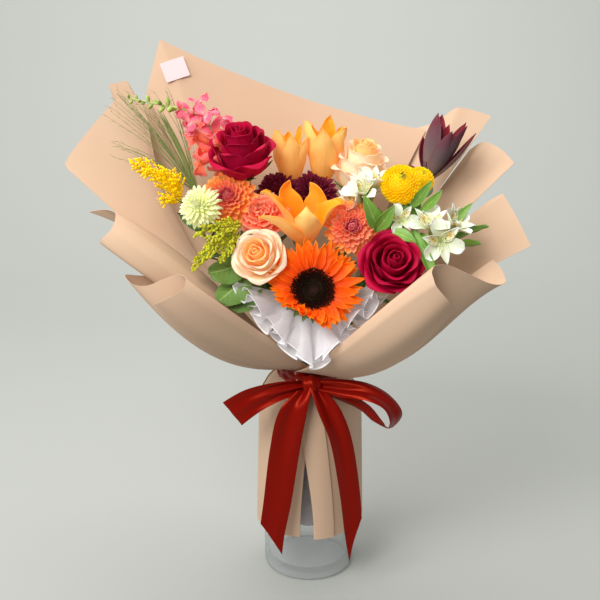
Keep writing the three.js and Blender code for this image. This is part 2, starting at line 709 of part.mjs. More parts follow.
/** A plume with the stem that carries it. */
function addPlume(name, stemName, finish, points, radii, stemRadius, slot) {
  addPiece(name, plume(points, radii), finish);
  const [start, next] = points.slice(0, 2).map(vector);
  const facing = next.sub(start).normalize();
  const back = start.clone().addScaledVector(facing, -2 * GAP);
  addPiece(stemName, tube(stemPoints(slot, back.toArray(), facing.toArray()), stemRadius), 'stem');
}

/** A flat leaf, from its base along its length, bowed towards its upper side. */
function leaf(base, tip, side, width, bow) {
  const [from, to] = [vector(base), vector(tip)];
  const across = vector(side).normalize();
  const upper = to.clone().sub(from).cross(across).normalize();
  const surface = (u, v) => {
    const half = width * (0.12 + 0.88 * Math.sin(Math.PI * (0.06 + 0.88 * v))) / 2;
    return from.clone().lerp(to, v)
      .addScaledVector(across, (2 * u - 1) * half)
      .addScaledVector(upper, bow * Math.sin(Math.PI * v));
  };
  return thinSolid(surface, 2, 6, 1);
}

// ---------------------------------------------------------------- assembly

addPiece('glass_vase', glassVase(), 'glass');
addPiece('stem_liner', stemLiner(), 'liner');
addPiece('back_sheet', backSheet.solid(3), 'paper');
addPiece('back_left_sheet', backLeftSheet.solid(2), 'paper');
addPiece('left_upper_sheet', leftUpperSheet.solid(3), 'paper');
addPiece('left_middle_sheet', leftMiddleSheet.solid(2), 'paper');
addPiece('left_front_sheet', leftFrontSheet.solid(2), 'paper');
addPiece('right_upper_sheet', rightUpperSheet.solid(2), 'paper');
addPiece('right_middle_sheet', rightMiddleSheet.solid(3), 'paper');
addPiece('right_lower_sheet', rightLowerSheet.solid(3), 'paper');
addPiece('right_front_sheet', rightFrontSheet.solid(2), 'paper');
addPiece('gift_card', giftCard(), 'card');
addPiece('organza_ruffle', organzaRuffle(), 'organza');
addPiece('satin_ribbon', satinRibbon(), 'satin');

for (const [name, flower] of Object.entries(SINGLE_FLOWERS)) addFlower(name, flower);
addSunflower();
addLilies();
addSpray('mum_burgundy', 'burgundy', [0, 0], [-8, 2, 430], 2, [
  { suffix: 'left', middle: [-36, -21, 487], facing: [-0.2, -0.6, 0.8], radius: 19, depth: 24 },
  { suffix: 'right', middle: [4, -22, 488], facing: [0.1, -0.6, 0.8], radius: 19, depth: 24 },
]);
addSpray('pompon_yellow', 'yellow', [2.5, -1], [92, -22, 452], 1.8, [
  { suffix: 'front', middle: [101, -52, 492], facing: [0.1, -0.7, 0.7], radius: 20, depth: 34 },
  { suffix: 'rear', middle: [127, -24, 500], facing: [0.3, -0.5, 0.8], radius: 13, depth: 22 },
]);
addSpray('alstroemeria', 'white', [2, -2], [86, -46, 425], 2, [
  { suffix: 'left', middle: [64, -40, 489], facing: [-0.1, -0.7, 0.7], radius: 17, depth: 24 },
  { suffix: 'middle', middle: [94, -62, 455], facing: [0.1, -0.9, 0.4], radius: 13, depth: 18 },
  { suffix: 'right', middle: [140, -72, 446], facing: [0.4, -0.8, 0.4], radius: 25, depth: 26 },
]);
addPlume('goldenrod_yellow', 'goldenrod_yellow_stem', 'yellow',
  [[-140, -52, 474], [-150, -56, 492], [-168, -60, 508], [-192, -60, 519]], [9, 20, 15, 4], 1.6, [-3, 0]);
addPlume('goldenrod_green', 'goldenrod_green_stem', 'yellowGreen',
  [[-74, -74, 446], [-90, -84, 446], [-104, -92, 434], [-112, -98, 416]], [9, 12, 12, 6], 1.6, [-2, -2]);
addPlume('leucadendron', 'leucadendron_stem', 'darkBract',
  [[114, 4, 506], [126, 4, 528], [140, 4, 548], [156, 6, 566]], [9, 23, 22, 5], 2.4, [2.5, 1]);
addPlume('snapdragon', 'snapdragon_stem', 'snapdragon',
  [[-94, 2, 506], [-106, -8, 534], [-134, -26, 560], [-200, -36, 580]], [9, 17, 13, 5], 2, [-1.5, 1]);
addPlume('grass_fan', 'grass_stem', 'grass',
  [[-124, -20, 476], [-138, -8, 504], [-160, 4, 540], [-182, 8, 574]], [5, 9, 12, 9], 1.6, [-2, 0]);
addPiece('alstroemeria_leaf', leaf([152, -66, 426], [188, -60, 442], [0.3, -0.5, 0.8], 14, 3), 'leaf');
addPiece('rose_leaf_upper', leaf([-72, -66, 404], [-96, -96, 390], [0.6, -0.6, -0.5], 24, 4), 'leaf');
addPiece('rose_leaf_lower', leaf([-66, -62, 384], [-86, -80, 368], [0.6, -0.6, -0.5], 20, 4), 'leaf');

export default bouquet;
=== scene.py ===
"""A mixed flower bouquet in a paper wrap, tied with satin ribbon, standing in a glass cylinder vase.

Sizes are in millimetres up to the moment a piece is made, and in metres from then on. +Z is up, the
front of the bouquet faces -Y, and the origin is the middle of the vase's foot.
"""

import logging
import math
from dataclasses import dataclass, replace
from enum import Enum
from functools import lru_cache
from typing import Callable, Sequence

import bpy
import numpy as np
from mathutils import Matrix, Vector


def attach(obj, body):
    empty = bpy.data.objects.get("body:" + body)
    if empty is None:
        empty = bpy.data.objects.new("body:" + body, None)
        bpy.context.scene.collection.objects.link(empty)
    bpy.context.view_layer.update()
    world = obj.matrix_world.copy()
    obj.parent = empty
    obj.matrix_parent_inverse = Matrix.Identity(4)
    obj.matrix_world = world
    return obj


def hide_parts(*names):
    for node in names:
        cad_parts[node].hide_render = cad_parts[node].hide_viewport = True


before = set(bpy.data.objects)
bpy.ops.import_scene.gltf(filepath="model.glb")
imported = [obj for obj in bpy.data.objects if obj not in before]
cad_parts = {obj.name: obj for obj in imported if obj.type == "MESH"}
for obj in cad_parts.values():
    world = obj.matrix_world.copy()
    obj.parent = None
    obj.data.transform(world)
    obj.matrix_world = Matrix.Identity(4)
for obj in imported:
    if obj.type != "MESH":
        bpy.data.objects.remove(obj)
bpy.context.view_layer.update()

log = logging.getLogger("bouquet")

Array = np.ndarray
Dice = np.random.Generator
Object = bpy.types.Object
Point = tuple[float, float, float]
Surface = Callable[[Array, Array], Array]

MILLIMETRE = 0.001
GOLDEN_ANGLE = math.radians(137.508)
BODY = "root"
ROUND = 2 * math.pi


# Vectors and smooth lines


def floats(values: Sequence) -> Array:
    """Values as an array of floats."""
    return np.array(values, float)


def unit(vectors: Array) -> Array:
    """Vectors scaled to a length of one."""
    length = np.linalg.norm(vectors, axis=-1, keepdims=True)
    return vectors / np.maximum(length, 1e-9)


def mix(first: float, second: float, share: float | Array) -> float | Array:
    """The value that lies at a share of the way from the first to the second."""
    return first + (second - first) * share


def eased(values: Array) -> Array:
    """Values cut to 0..1 and eased at both ends."""
    cut = np.clip(values, 0.0, 1.0)
    return cut * cut * (3.0 - 2.0 * cut)


def through(rows: Array, marks: Array, t: Array) -> Array:
    """A smooth curve through rows of values.

    Args:
        rows: One row of values for each mark.
        marks: Rising positions of the rows.
        t: Positions to read the curve at.

    Returns:
        One row for each position.
    """
    last = len(marks) - 1
    order = np.arange(len(marks))
    low, high = np.maximum(order - 1, 0), np.minimum(order + 1, last)
    slopes = (rows[high] - rows[low]) / (marks[high] - marks[low])[:, None]
    k = np.clip(np.searchsorted(marks, t, side="right") - 1, 0, last - 1)
    span = (marks[k + 1] - marks[k])[:, None]
    s = (t - marks[k])[:, None] / span
    return (
        (2 * s**3 - 3 * s**2 + 1) * rows[k]
        + (s**3 - 2 * s**2 + s) * slopes[k] * span
        + (3 * s**2 - 2 * s**3) * rows[k + 1]
        + (s**3 - s**2) * slopes[k + 1] * span
    )


def chord_marks(points: Array) -> Array:
    """Positions of points along their own chords, from 0 to 1."""
    steps = np.linalg.norm(np.diff(points, axis=0), axis=1)
    marks = np.concatenate([[0.0], np.cumsum(steps)])
    return marks / marks[-1]


def spline(points: Sequence[Point], t: Array) -> Array:
    """The smooth line through points, read at positions from 0 to 1."""
    rows = floats(points)
    return through(rows, chord_marks(rows), floats(t))


def arc(length: float, start: float, bend: float, steps: int = 5) -> list[Point]:
    """A line that leaves the origin along +Y and bends towards +Z.

    Args:
        length: Length of the line.
        start: Its angle above +Y where it starts, in degrees.
        bend: How much that angle grows along it, in degrees.
        steps: Number of pieces.

    Returns:
        The points of the line.
    """
    angles = np.radians(start + bend * (np.arange(steps) + 0.5) / steps)
    steps_y = np.cumsum(np.cos(angles)) * length / steps
    steps_z = np.cumsum(np.sin(angles)) * length / steps
    return [(0.0, 0.0, 0.0)] + [(0.0, y, z) for y, z in zip(steps_y, steps_z)]


# Placing


def translation(place: Sequence[float]) -> Array:
    """The matrix that moves the origin to a place."""
    matrix = np.eye(4)
    matrix[:3, 3] = place
    return matrix


def scaling(x: float, y: float, z: float) -> Array:
    """The matrix that scales along the main axes."""
    return np.diag((x, y, z, 1.0))


def rotation(axis: str, degrees: float) -> Array:
    """The matrix that turns about a main axis, "x", "y" or "z"."""
    angle = math.radians(degrees)
    first, second = {"x": (1, 2), "y": (2, 0), "z": (0, 1)}[axis]
    matrix = np.eye(4)
    matrix[first, first] = matrix[second, second] = math.cos(angle)
    matrix[second, first] = math.sin(angle)
    matrix[first, second] = -math.sin(angle)
    return matrix


def placing(place: Sequence[float], facing: Sequence[float], roll: float = 0.0) -> Array:
    """The matrix that puts a shape in place, with its +Z towards a direction and its +Y upwards.

    Args:
        place: Where its origin goes.
        facing: Where its +Z axis points.
        roll: Turn about that axis, in degrees.

    Returns:
        A 4 x 4 matrix.
    """
    z = unit(floats(facing))
    x = unit(np.cross((0.0, 0.02, 1.0), z))
    matrix = translation(place)
    matrix[:3, :3] = np.stack([x, np.cross(z, x), z], axis=1)
    return matrix @ rotation("z", roll)


def around(
    angle: float, radius: float = 0.0, height: float = 0.0, lift: float = 0.0, twist: float = 0.0
) -> Array:
    """The matrix for a petal in a ring about +Z.

    Args:
        angle: Its direction in the ring, in degrees.
        radius: Distance of its foot from the axis.
        height: Height of its foot.
        lift: Its tilt towards +Z, in degrees.
        twist: Its turn about its own line, in degrees.

    Returns:
        A 4 x 4 matrix for a petal that was shaped along +Y.
    """
    foot = translation((0.0, radius, height))
    return rotation("z", angle - 90.0) @ foot @ rotation("x", lift) @ rotation("y", twist)


# Shapes


@dataclass
class Shape:
    """A closed shape, ready to be copied into a piece.

    Attributes:
        points: One row for each point.
        corners: Point numbers of the faces, one face after another.
        counts: Number of corners of each face.
        places: Where each point lies across and along the shape, from 0 to 1.
    """

    points: Array
    corners: Array
    counts: Array
    places: Array

    def moved(self, matrix: Array) -> "Shape":
        """A copy that a matrix has moved."""
        points = self.points @ matrix[:3, :3].T + matrix[:3, 3]
        return Shape(points, self.corners, self.counts, self.places)


def taken_from(made: Object) -> Shape:
    """Reads a primitive into a shape and removes it."""
    mesh = made.data
    points = floats([vertex.co for vertex in mesh.vertices])
    corners = np.array([loop.vertex_index for loop in mesh.loops], int)
    counts = np.array([face.loop_total for face in mesh.polygons], int)
    bpy.data.objects.remove(made)
    bpy.data.meshes.remove(mesh)
    return Shape(points, corners, counts, points[:, :2] + 0.5)


@lru_cache(maxsize=None)
def plate(columns: int, rows: int) -> Shape:
    """A closed plate of one by one by one, in a grid, that sheets and petals are shaped from."""
    bpy.ops.mesh.primitive_grid_add(x_subdivisions=columns, y_subdivisions=rows, size=1.0)
    made = bpy.context.object
    wall = made.modifiers.new("wall", "SOLIDIFY")
    wall.thickness = 1.0
    wall.offset = 0.0
    bpy.ops.object.modifier_apply(modifier=wall.name)
    return taken_from(made)


@lru_cache(maxsize=None)
def bead(rounds: int = 1) -> Shape:
    """A small round body one across, with its places running from its lower to its upper end."""
    bpy.ops.mesh.primitive_ico_sphere_add(subdivisions=rounds, radius=0.5)
    shape = taken_from(bpy.context.object)
    shape.places = np.stack([np.full(len(shape.points), 0.5), shape.points[:, 2] + 0.5], axis=1)
    return shape


@lru_cache(maxsize=None)
def rod(sides: int, steps: int) -> Shape:
    """A closed rod about +Z, one across and one high, cut into steps."""
    bpy.ops.mesh.primitive_cylinder_add(vertices=sides, radius=0.5, depth=1.0)
    made = bpy.context.object
    bpy.ops.object.mode_set(mode="EDIT")
    for k in range(1, steps):
        bpy.ops.mesh.select_all(action="SELECT")
        bpy.ops.mesh.bisect(plane_co=(0, 0, k / steps - 0.5), plane_no=(0, 0, 1))
    bpy.ops.object.mode_set(mode="OBJECT")
    shape = taken_from(made)
    turn = np.arctan2(shape.points[:, 1], shape.points[:, 0]) / ROUND + 0.5
    shape.places = np.stack([turn, shape.points[:, 2] + 0.5], axis=1)
    return shape


def shaped(surface: Surface, columns: int, rows: int, thickness: float) -> Shape:
    """A thin closed shape that follows a surface.

    Args:
        surface: Gives the middle of the shape for places across and along it, from 0 to 1.
        columns: Number of faces across.
        rows: Number of faces along.
        thickness: Thickness of the shape.

    Returns:
        The shape.
    """
    blank = plate(columns, rows)
    u, v = np.clip(blank.places.T, 0.0, 1.0)
    step = 1e-3
    across = surface(np.minimum(u + step, 1.0), v) - surface(np.maximum(u - step, 0.0), v)
    along = surface(u, np.minimum(v + step, 1.0)) - surface(u, np.maximum(v - step, 0.0))
    normal = unit(np.cross(across, along))
    points = surface(u, v) + normal * (blank.points[:, 2:] * thickness)
    return Shape(points, blank.corners, blank.counts, np.stack([u, v], axis=1))


def swept(points: Sequence[Point], radii: Sequence[float], sides: int = 8, steps: int = 12) -> Shape:
    """A rod with a changing radius along a smooth line.

    Args:
        points: Points that its middle goes through.
        radii: Radii at even distances along it.
        sides: Number of sides.
        steps: Number of pieces along it.

    Returns:
        The shape.
    """
    blank = rod(sides, steps)
    t = np.round(blank.places[:, 1] * steps) / steps
    centre = spline(points, t)
    tangent = unit(spline(points, np.minimum(t + 1e-3, 1.0)) - spline(points, np.maximum(t - 1e-3, 0.0)))
    reach = floats(points[-1]) - floats(points[0])
    steady = np.eye(3)[int(np.argmin(np.abs(reach)))]
    first = unit(np.cross(tangent, steady))
    second = np.cross(tangent, first)
    radius = np.interp(t, np.linspace(0.0, 1.0, len(radii)), radii)[:, None]
    ring = first * blank.points[:, :1] * 2.0 + second * blank.points[:, 1:2] * 2.0
    return Shape(centre + ring * radius, blank.corners, blank.counts, blank.places)


def revolved(profile: Sequence[tuple[float, float]], sides: int) -> Object:
    """A solid of revolution about Z, spun from its profile.

    Args:
        profile: Radius and height of each point, starting and ending on the axis.
        sides: Number of sides.

    Returns:
        The new object.
    """
    bpy.ops.mesh.primitive_plane_add(size=1.0)
    made = bpy.context.object
    mesh = made.data
    mesh.clear_geometry()
    points = [(radius * MILLIMETRE, 0.0, height * MILLIMETRE) for radius, height in profile]
    mesh.from_pydata(points, [(k, k + 1) for k in range(len(points) - 1)], [])
    bpy.ops.object.mode_set(mode="EDIT")
    bpy.ops.mesh.select_all(action="SELECT")
    bpy.ops.mesh.spin(steps=sides, angle=ROUND, center=(0, 0, 0), axis=(0, 0, 1))
    bpy.ops.mesh.select_all(action="SELECT")
    bpy.ops.mesh.remove_doubles(threshold=1e-6)
    bpy.ops.mesh.normals_make_consistent(inside=False)
    bpy.ops.object.mode_set(mode="OBJECT")
    return made


# Shader expressions


class Wire:
    """A socket in an expression: arithmetic on it adds Math nodes."""

    def __init__(self, graph: "Graph", socket: bpy.types.NodeSocket) -> None:
        """Keeps the socket and the graph that it belongs to."""
        self.graph = graph
        self.socket = socket

    def _math(self, operation: str, first: "Wire | float", second: "Wire | float") -> "Wire":
        """Adds a Math node."""
        return self.graph.node("ShaderNodeMath", {"operation": operation}, {0: first, 1: second})

    def __add__(self, other: "Wire | float") -> "Wire":
        """Sum."""
        return self._math("ADD", self, other)

    __radd__ = __add__

    def __sub__(self, other: "Wire | float") -> "Wire":
        """Difference."""
        return self._math("SUBTRACT", self, other)

    def __rsub__(self, other: "Wire | float") -> "Wire":
        """Difference from a number."""
        return self._math("SUBTRACT", other, self)

    def __mul__(self, other: "Wire | float") -> "Wire":
        """Product."""
        return self._math("MULTIPLY", self, other)

    __rmul__ = __mul__

    def __pow__(self, other: float) -> "Wire":
        """Power."""
        return self._math("POWER", self, other)

    def __gt__(self, other: "Wire | float") -> "Wire":
        """1 where it is greater, 0 elsewhere."""
        return self._math("GREATER_THAN", self, other)

    def size(self) -> "Wire":
        """Its value without the sign."""
        return self._math("ABSOLUTE", self, 0.0)

    def wave(self) -> "Wire":
        """The sine of it."""
        return self._math("SINE", self, 0.0)

    def off_middle(self) -> "Wire":
        """Twice its distance from one half, which is 1 at both side edges of a shape."""
        return ((self - 0.5) * 2.0).size()


class Graph:
    """The node tree of one material."""

    def __init__(self, name: str) -> None:
        """Makes the material with its Principled shader."""
        self.material = bpy.data.materials.new(name)
        self.material.use_nodes = True
        self.tree = self.material.node_tree
        self.shader = self.tree.nodes["Principled BSDF"]

    def node(
        self, kind: str, settings: dict | None = None, sockets: dict | None = None, output: int = 0
    ) -> Wire:
        """Adds a node.

        Args:
            kind: Its type.
            settings: Its settings, set first; a ramp's "stops" are pairs of place and colour.
            sockets: Values or wires for its inputs, by name or number.
            output: Number of the output that is wanted.

        Returns:
            That output.
        """
        made = self.tree.nodes.new(kind)
        for key, value in (settings or {}).items():
            if key == "stops":
                self._set_stops(made.color_ramp, value)
            else:
                setattr(made, key, value)
        for key, value in (sockets or {}).items():
            self._fill(made.inputs[key], value)
        return Wire(self, made.outputs[output])

    def _fill(self, socket: bpy.types.NodeSocket, value: Wire | float | tuple) -> None:
        """Links a wire to a socket, or sets its value."""
        if isinstance(value, Wire):
            self.tree.links.new(value.socket, socket)
        else:
            socket.default_value = value

    @staticmethod
    def _set_stops(ramp: bpy.types.ColorRamp, stops: Sequence[tuple[float, tuple]]) -> None:
        """Gives a ramp its stops."""
        while len(ramp.elements) < len(stops):
            ramp.elements.new(0.5)
        for element, (place, colour) in zip(ramp.elements, stops):
            element.position = place
            element.color = colour

    def ramp(self, factor: Wire, places: Sequence[float], codes: str) -> Wire:
        """A colour ramp with stops at places, and their screen codes in one string."""
        stops = [(place, paint(code)) for place, code in zip(places, codes.split())]
        return self.node("ShaderNodeValToRGB", {"stops": stops}, {0: factor})

    def blend(self, factor: Wire | float, first: Wire | str, second: Wire | str) -> Wire:
        """A mix of two colours, each a wire or a screen code."""
        pair = [colour if isinstance(colour, Wire) else paint(colour) for colour in (first, second)]
        sockets = {0: factor, 6: pair[0], 7: pair[1]}
        return self.node("ShaderNodeMix", {"data_type": "RGBA"}, sockets, output=2)

    def lit(self, level: Wire, colour: Wire) -> Wire:
        """A colour at another brightness."""
        return self.node("ShaderNodeHueSaturation", None, {"Value": level, "Color": colour})

    def cut(self, value: Wire) -> Wire:
        """A value kept between 0 and 1."""
        return self.node("ShaderNodeClamp", None, {0: value})

    def places(self) -> list[Wire]:
        """Places across and along the shape, from 0 to 1."""
        uv = self.node("ShaderNodeTexCoord", output=2)
        return [self.node("ShaderNodeSeparateXYZ", None, {0: uv}, output=axis) for axis in (0, 1)]

    def tone(self) -> Wire:
        """The tone that each copy in the piece was given, from 0 to 1."""
        return self.node("ShaderNodeAttribute", {"attribute_name": "tone"}, output=2)

    def position(self) -> Wire:
        """The place on the object, in metres."""
        return self.node("ShaderNodeTexCoord", output=3)

    def vector(self, x: Wire | float, y: Wire | float, z: Wire | float = 0.0) -> Wire:
        """Three values as a vector."""
        return self.node("ShaderNodeCombineXYZ", None, {0: x, 1: y, 2: z})

    def noise(self, vector: Wire, scale: float, detail: float = 2.0, roughness: float = 0.5) -> Wire:
        """Noise from 0 to 1."""
        sockets = {"Vector": vector, "Scale": scale, "Detail": detail, "Roughness": roughness}
        return self.node("ShaderNodeTexNoise", None, sockets)

    def bump(self, height: Wire, strength: float, distance: float) -> None:
        """Feeds a height, over a distance in millimetres, to the shader's normal."""
        sockets = {"Strength": strength, "Distance": distance * MILLIMETRE, "Height": height}
        self.shade("Normal", self.node("ShaderNodeBump", None, sockets))

    def shade(self, socket: str, value: Wire | float | tuple) -> None:
        """Sets one of the shader's own sockets."""
        self._fill(self.shader.inputs[socket], value)


def paint(code: str) -> tuple[float, float, float, float]:
    """A colour from its screen code, such as "f5d9b5"."""
    parts = [int(code[k:k + 2], 16) / 255 for k in (0, 2, 4)]
    linear = [part / 12.92 if part <= 0.04045 else ((part + 0.055) / 1.055) ** 2.4 for part in parts]
    return (*linear, 1.0)


# Finishes


@dataclass(frozen=True)
class Finish:
    """What a surface is made of: the name of its material, and a slot name, which is not used."""

    name: str
    slot: str

    def material(self) -> bpy.types.Material:
        """The material, made when it is first asked for."""
        found = bpy.data.materials.get(self.name)
        if found:
            return found
        graph = Graph(self.name)
        self.dress(graph)
        return graph.material

    def dress(self, graph: Graph) -> None:
        """Fills the node tree."""
        raise NotImplementedError


@dataclass(frozen=True)
class PetalFinish(Finish):
    """A fresh petal, coloured along its length, with fine veins and a painted glow.

    Attributes:
        colours: Screen codes of its foot, its middle, its tip and its side edges.
        edge_share: How strongly the side edges take their colour.
        vein: Depth of the veins.
        spread: How much the copies differ in brightness.
        glow: How much light goes through it as subsurface scattering, and how strong the painted glow of its
            emission is.
    """

    colours: str
    edge_share: float = 0.0
    vein: float = 0.3
    spread: float = 0.25
    glow: float = 0.2
    roughness: float = 0.55

    veins_across = 16.0
    painted_glow_share = 0.28

    def dress(self, graph: Graph) -> None:
        """Fills the node tree."""
        across, along = graph.places()
        cloud = graph.noise(graph.position(), 90.0)
        colour = graph.ramp(along + (cloud - 0.5) * 0.25, (0.0, 0.5, 0.95), self.colours)
        side = across.off_middle() ** 5.0
        if self.edge_share:
            rim = (side + along ** 12.0) * self.edge_share
            colour = graph.blend(rim, colour, self.colours.split()[-1])
        tone = graph.tone()
        veins = graph.noise(graph.vector(across * self.veins_across, along * 1.5, tone * 9.0), 1.0, 3.0)
        colour = graph.lit(1.0 + (tone - 0.5) * self.spread + (veins - 0.5) * self.vein, colour)
        graph.shade("Base Color", colour)
        # Emission paints a glow on the petal that lifts its shade, standing in for light coming through it.
        graph.shade("Emission Color", colour)
        graph.shade("Emission Strength", self.glow * self.painted_glow_share)
        graph.shade("Roughness", self.roughness + (cloud - 0.5) * 0.2)
        graph.shade("Subsurface Weight", self.glow)
        graph.shade("Subsurface Radius", (1.0, 0.5, 0.3))
        graph.shade("Subsurface Scale", 2.5 * MILLIMETRE)
        graph.shade("Specular IOR Level", 0.15)
        graph.bump(veins, 0.5, 0.25)


@dataclass(frozen=True)
class LeafFinish(Finish):
    """A leaf with a midrib and pairs of side veins."""

    blade: str = "4f7d38"
    rib: str = "8db464"
    pairs: float = 9.0

    def dress(self, graph: Graph) -> None:
        """Fills the node tree."""
        across, along = graph.places()
        off_middle = across.off_middle()
        midrib = 1.0 - (off_middle > 0.06)
        slant = (along - off_middle * 0.22) * (self.pairs * ROUND)
        side_vein = (slant.wave() > 0.94) * (1.0 - off_middle)
        cloud = graph.noise(graph.position(), 60.0, 4.0)
        ribs = midrib * 0.6 + side_vein * 0.35
        level = 0.8 + cloud * 0.4 + (graph.tone() - 0.5) * 0.3
        graph.shade("Base Color", graph.lit(level, graph.blend(ribs, self.blade, self.rib)))
        graph.shade("Roughness", 0.45 + (cloud - 0.5) * 0.25)
        graph.shade("Subsurface Weight", 0.1)
        graph.shade("Subsurface Scale", 2.0 * MILLIMETRE)
        graph.bump(1.0 - ribs + cloud * 0.3, 0.5, 0.4)


@dataclass(frozen=True)
class StemFinish(Finish):
    """A green stem with fine ribs along it, in a lighter and a darker colour."""

    young: str = "93b05c"
    old: str = "5d8438"

    ribs_round = 7

    def dress(self, graph: Graph) -> None:
        """Fills the node tree."""
        across, _ = graph.places()
        cloud = graph.noise(graph.position(), 45.0, 3.0)
        ribs = (across * (ROUND * self.ribs_round)).wave() * 0.5 + 0.5
        colour = graph.blend(cloud * 0.7 + graph.tone() * 0.3, self.old, self.young)
        graph.shade("Base Color", graph.blend(ribs * 0.2, colour, "3d5c22"))
        graph.shade("Roughness", 0.42 + cloud * 0.2)
        graph.bump(1.0 - ribs, 0.4, 0.3)


@dataclass(frozen=True)
class PaperFinish(Finish):
    """Smooth matte wrapping paper with faint clouds and a fine grain."""

    face: str = "d9b89a"
    clouded: str = "cda98a"

    def dress(self, graph: Graph) -> None:
        """Fills the node tree."""
        place = graph.position()
        cloud = graph.noise(place, 14.0, 3.0)
        grain = graph.noise(place, 1400.0, 2.0)
        graph.shade("Base Color", graph.blend(cloud * 0.5 + grain * 0.15, self.face, self.clouded))
        graph.shade("Roughness", 0.62 + cloud * 0.12)
        graph.shade("Specular IOR Level", 0.35)
        graph.shade("Sheen Weight", 0.08)
        graph.bump(grain * 0.25 + cloud, 0.35, 0.4)


@dataclass(frozen=True)
class GrainFinish(Finish):
    """A plain surface with a grain in a second colour.

    Attributes:
        face, second: Its two colours.
        grain: Scale, detail and roughness of the noise.
        share: How much of the second colour is seen.
        dull: Roughness of the surface, and how much the grain adds to it.
        height: Strength and depth of the bumps.
    """

    face: str
    second: str
    grain: Point
    share: float
    dull: tuple[float, float]
    height: tuple[float, float]

    def dress(self, graph: Graph) -> None:
        """Fills the node tree."""
        grain = graph.noise(graph.position(), *self.grain)
        graph.shade("Base Color", graph.blend(grain * self.share, self.face, self.second))
        graph.shade("Roughness", self.dull[0] + grain * self.dull[1])
        graph.bump(grain, *self.height)


@dataclass(frozen=True)
class SatinFinish(Finish):
    """Woven satin with a soft broad gloss, darker between its threads and at its edges."""

    face: str = "800b06"
    deep: str = "500402"

    def dress(self, graph: Graph) -> None:
        """Fills the node tree."""
        across, along = graph.places()
        threads = graph.noise(graph.vector(across * 260.0, along * 9.0), 1.0, 2.0)
        folds = graph.noise(graph.vector(across * 5.0, along * 3.0), 1.0, 2.0)
        selvedge = across.off_middle() > 0.955
        colour = graph.blend(threads * 0.35, self.face, self.deep)
        graph.shade("Base Color", graph.blend(selvedge * 0.5, colour, self.deep))
        graph.shade("Roughness", 0.28 + threads * 0.12)
        graph.shade("Specular IOR Level", 0.9)
        graph.shade("Specular Tint", paint("ff5a3a"))
        graph.shade("Anisotropic", 0.5)
        graph.bump(folds + threads * 0.03, 0.4, 1.0)


@dataclass(frozen=True)
class OrganzaFinish(Finish):
    """Thin see-through cloth with a dense woven edge and a faint painted glow."""

    hem_from = 0.965

    def dress(self, graph: Graph) -> None:
        """Fills the node tree."""
        across, along = graph.places()
        weave = (across * 2600.0).wave() * (along * 240.0).wave()
        hem = along > self.hem_from
        cloud = graph.noise(graph.position(), 40.0)
        graph.shade("Base Color", graph.blend(hem, "f6f3f5", "ffffff"))
        graph.shade("Alpha", 0.26 + cloud * 0.25 + weave * 0.05 + hem * 0.4)
        # Emission paints a faint glow on the cloth, brightening it where it would be in shade.
        graph.shade("Emission Color", paint("e8e6ea"))
        graph.shade("Emission Strength", 0.08)
        graph.shade("Roughness", 0.5 + cloud * 0.1)
        graph.shade("Specular IOR Level", 0.2)
        graph.shade("Sheen Weight", 0.3)


@dataclass(frozen=True)
class GlassFinish(Finish):
    """Clear glass that is seen mostly at its rims and edges.

    Attributes:
        clear: How much of it is seen where one looks straight through.
        rim: How much more is seen at a grazing angle.
        foot: How much more is seen of its thick foot.
        base: Height of that foot, in metres.
    """

    clear: float = 0.035
    rim: float = 0.8
    foot: float = 0.08
    base: float = 0.012

    def dress(self, graph: Graph) -> None:
        """Fills the node tree."""
        place = graph.position()
        cloud = graph.noise(place, 9.0, 1.0)
        facing = graph.node("ShaderNodeLayerWeight", None, {"Blend": 0.5}, output=1)
        height = graph.node("ShaderNodeSeparateXYZ", None, {0: place}, output=2)
        low = 1.0 - (height > self.base)
        graph.shade("Base Color", graph.blend(facing ** 1.5, "f4f8f6", "7c8683"))
        graph.shade("Roughness", 0.02 + cloud * 0.02)
        graph.shade("Specular IOR Level", 1.0)
        graph.shade("Alpha", self.clear + facing ** 2.2 * self.rim + low * self.foot)
        graph.bump(cloud, 0.05, 0.3)


@dataclass(frozen=True)
class SeedFinish(Finish):
    """The disc of a sunflower: dark tube flowers round a greenish black heart."""

    rings = (0.0, 0.38, 0.45, 0.52, 0.8, 1.0)
    colours = "060a06 0c100a 3c401a 200b06 3c160b 4c1d0e"

    def dress(self, graph: Graph) -> None:
        """Fills the node tree."""
        _, along = graph.places()
        colour = graph.ramp(graph.tone(), self.rings, self.colours)
        light = graph.noise(graph.position(), 700.0)
        tip = (along ** 4.0) * light * 0.35
        graph.shade("Base Color", graph.blend(tip, colour, "6a3418"))
        graph.shade("Roughness", 0.7 + light * 0.2)
        graph.shade("Specular IOR Level", 0.15)
        graph.bump(light, 0.3, 0.2)


@dataclass(frozen=True)
class SpottedFinish(Finish):
    """A white tepal with a green midline; if marked, with a yellow flush and fine dark dashes."""

    marked: float = 0.0

    def dress(self, graph: Graph) -> None:
        """Fills the node tree."""
        across, along = graph.places()
        off_middle = across.off_middle()
        cloud = graph.noise(graph.position(), 120.0)
        colour = graph.ramp(along, (0.0, 0.35, 0.9), "bccb78 e8ebc8 f8f7ea")
        yellow = (1.0 - (along - 0.5).size() * 3.2) * (1.0 - off_middle) * self.marked
        colour = graph.blend(graph.cut(yellow), colour, "f2c53a")
        midline = (1.0 - off_middle * 4.0) * (along ** 2.0) * 0.55
        colour = graph.blend(graph.cut(midline), colour, "a9c46a")
        dots = graph.noise(graph.vector(across * 16.0, along * 7.0), 1.0, 0.0)
        marks = (dots > 0.64) * (1.0 - ((along - 0.45).size() > 0.25)) * self.marked
        graph.shade("Base Color", graph.blend(marks, colour, "5a2320"))
        graph.shade("Roughness", 0.5 + cloud * 0.15)
        graph.shade("Subsurface Weight", 0.25)
        graph.shade("Subsurface Scale", 2.5 * MILLIMETRE)
        graph.bump(graph.noise(graph.vector(across * 18.0, along * 2.0), 1.0), 0.4, 0.2)


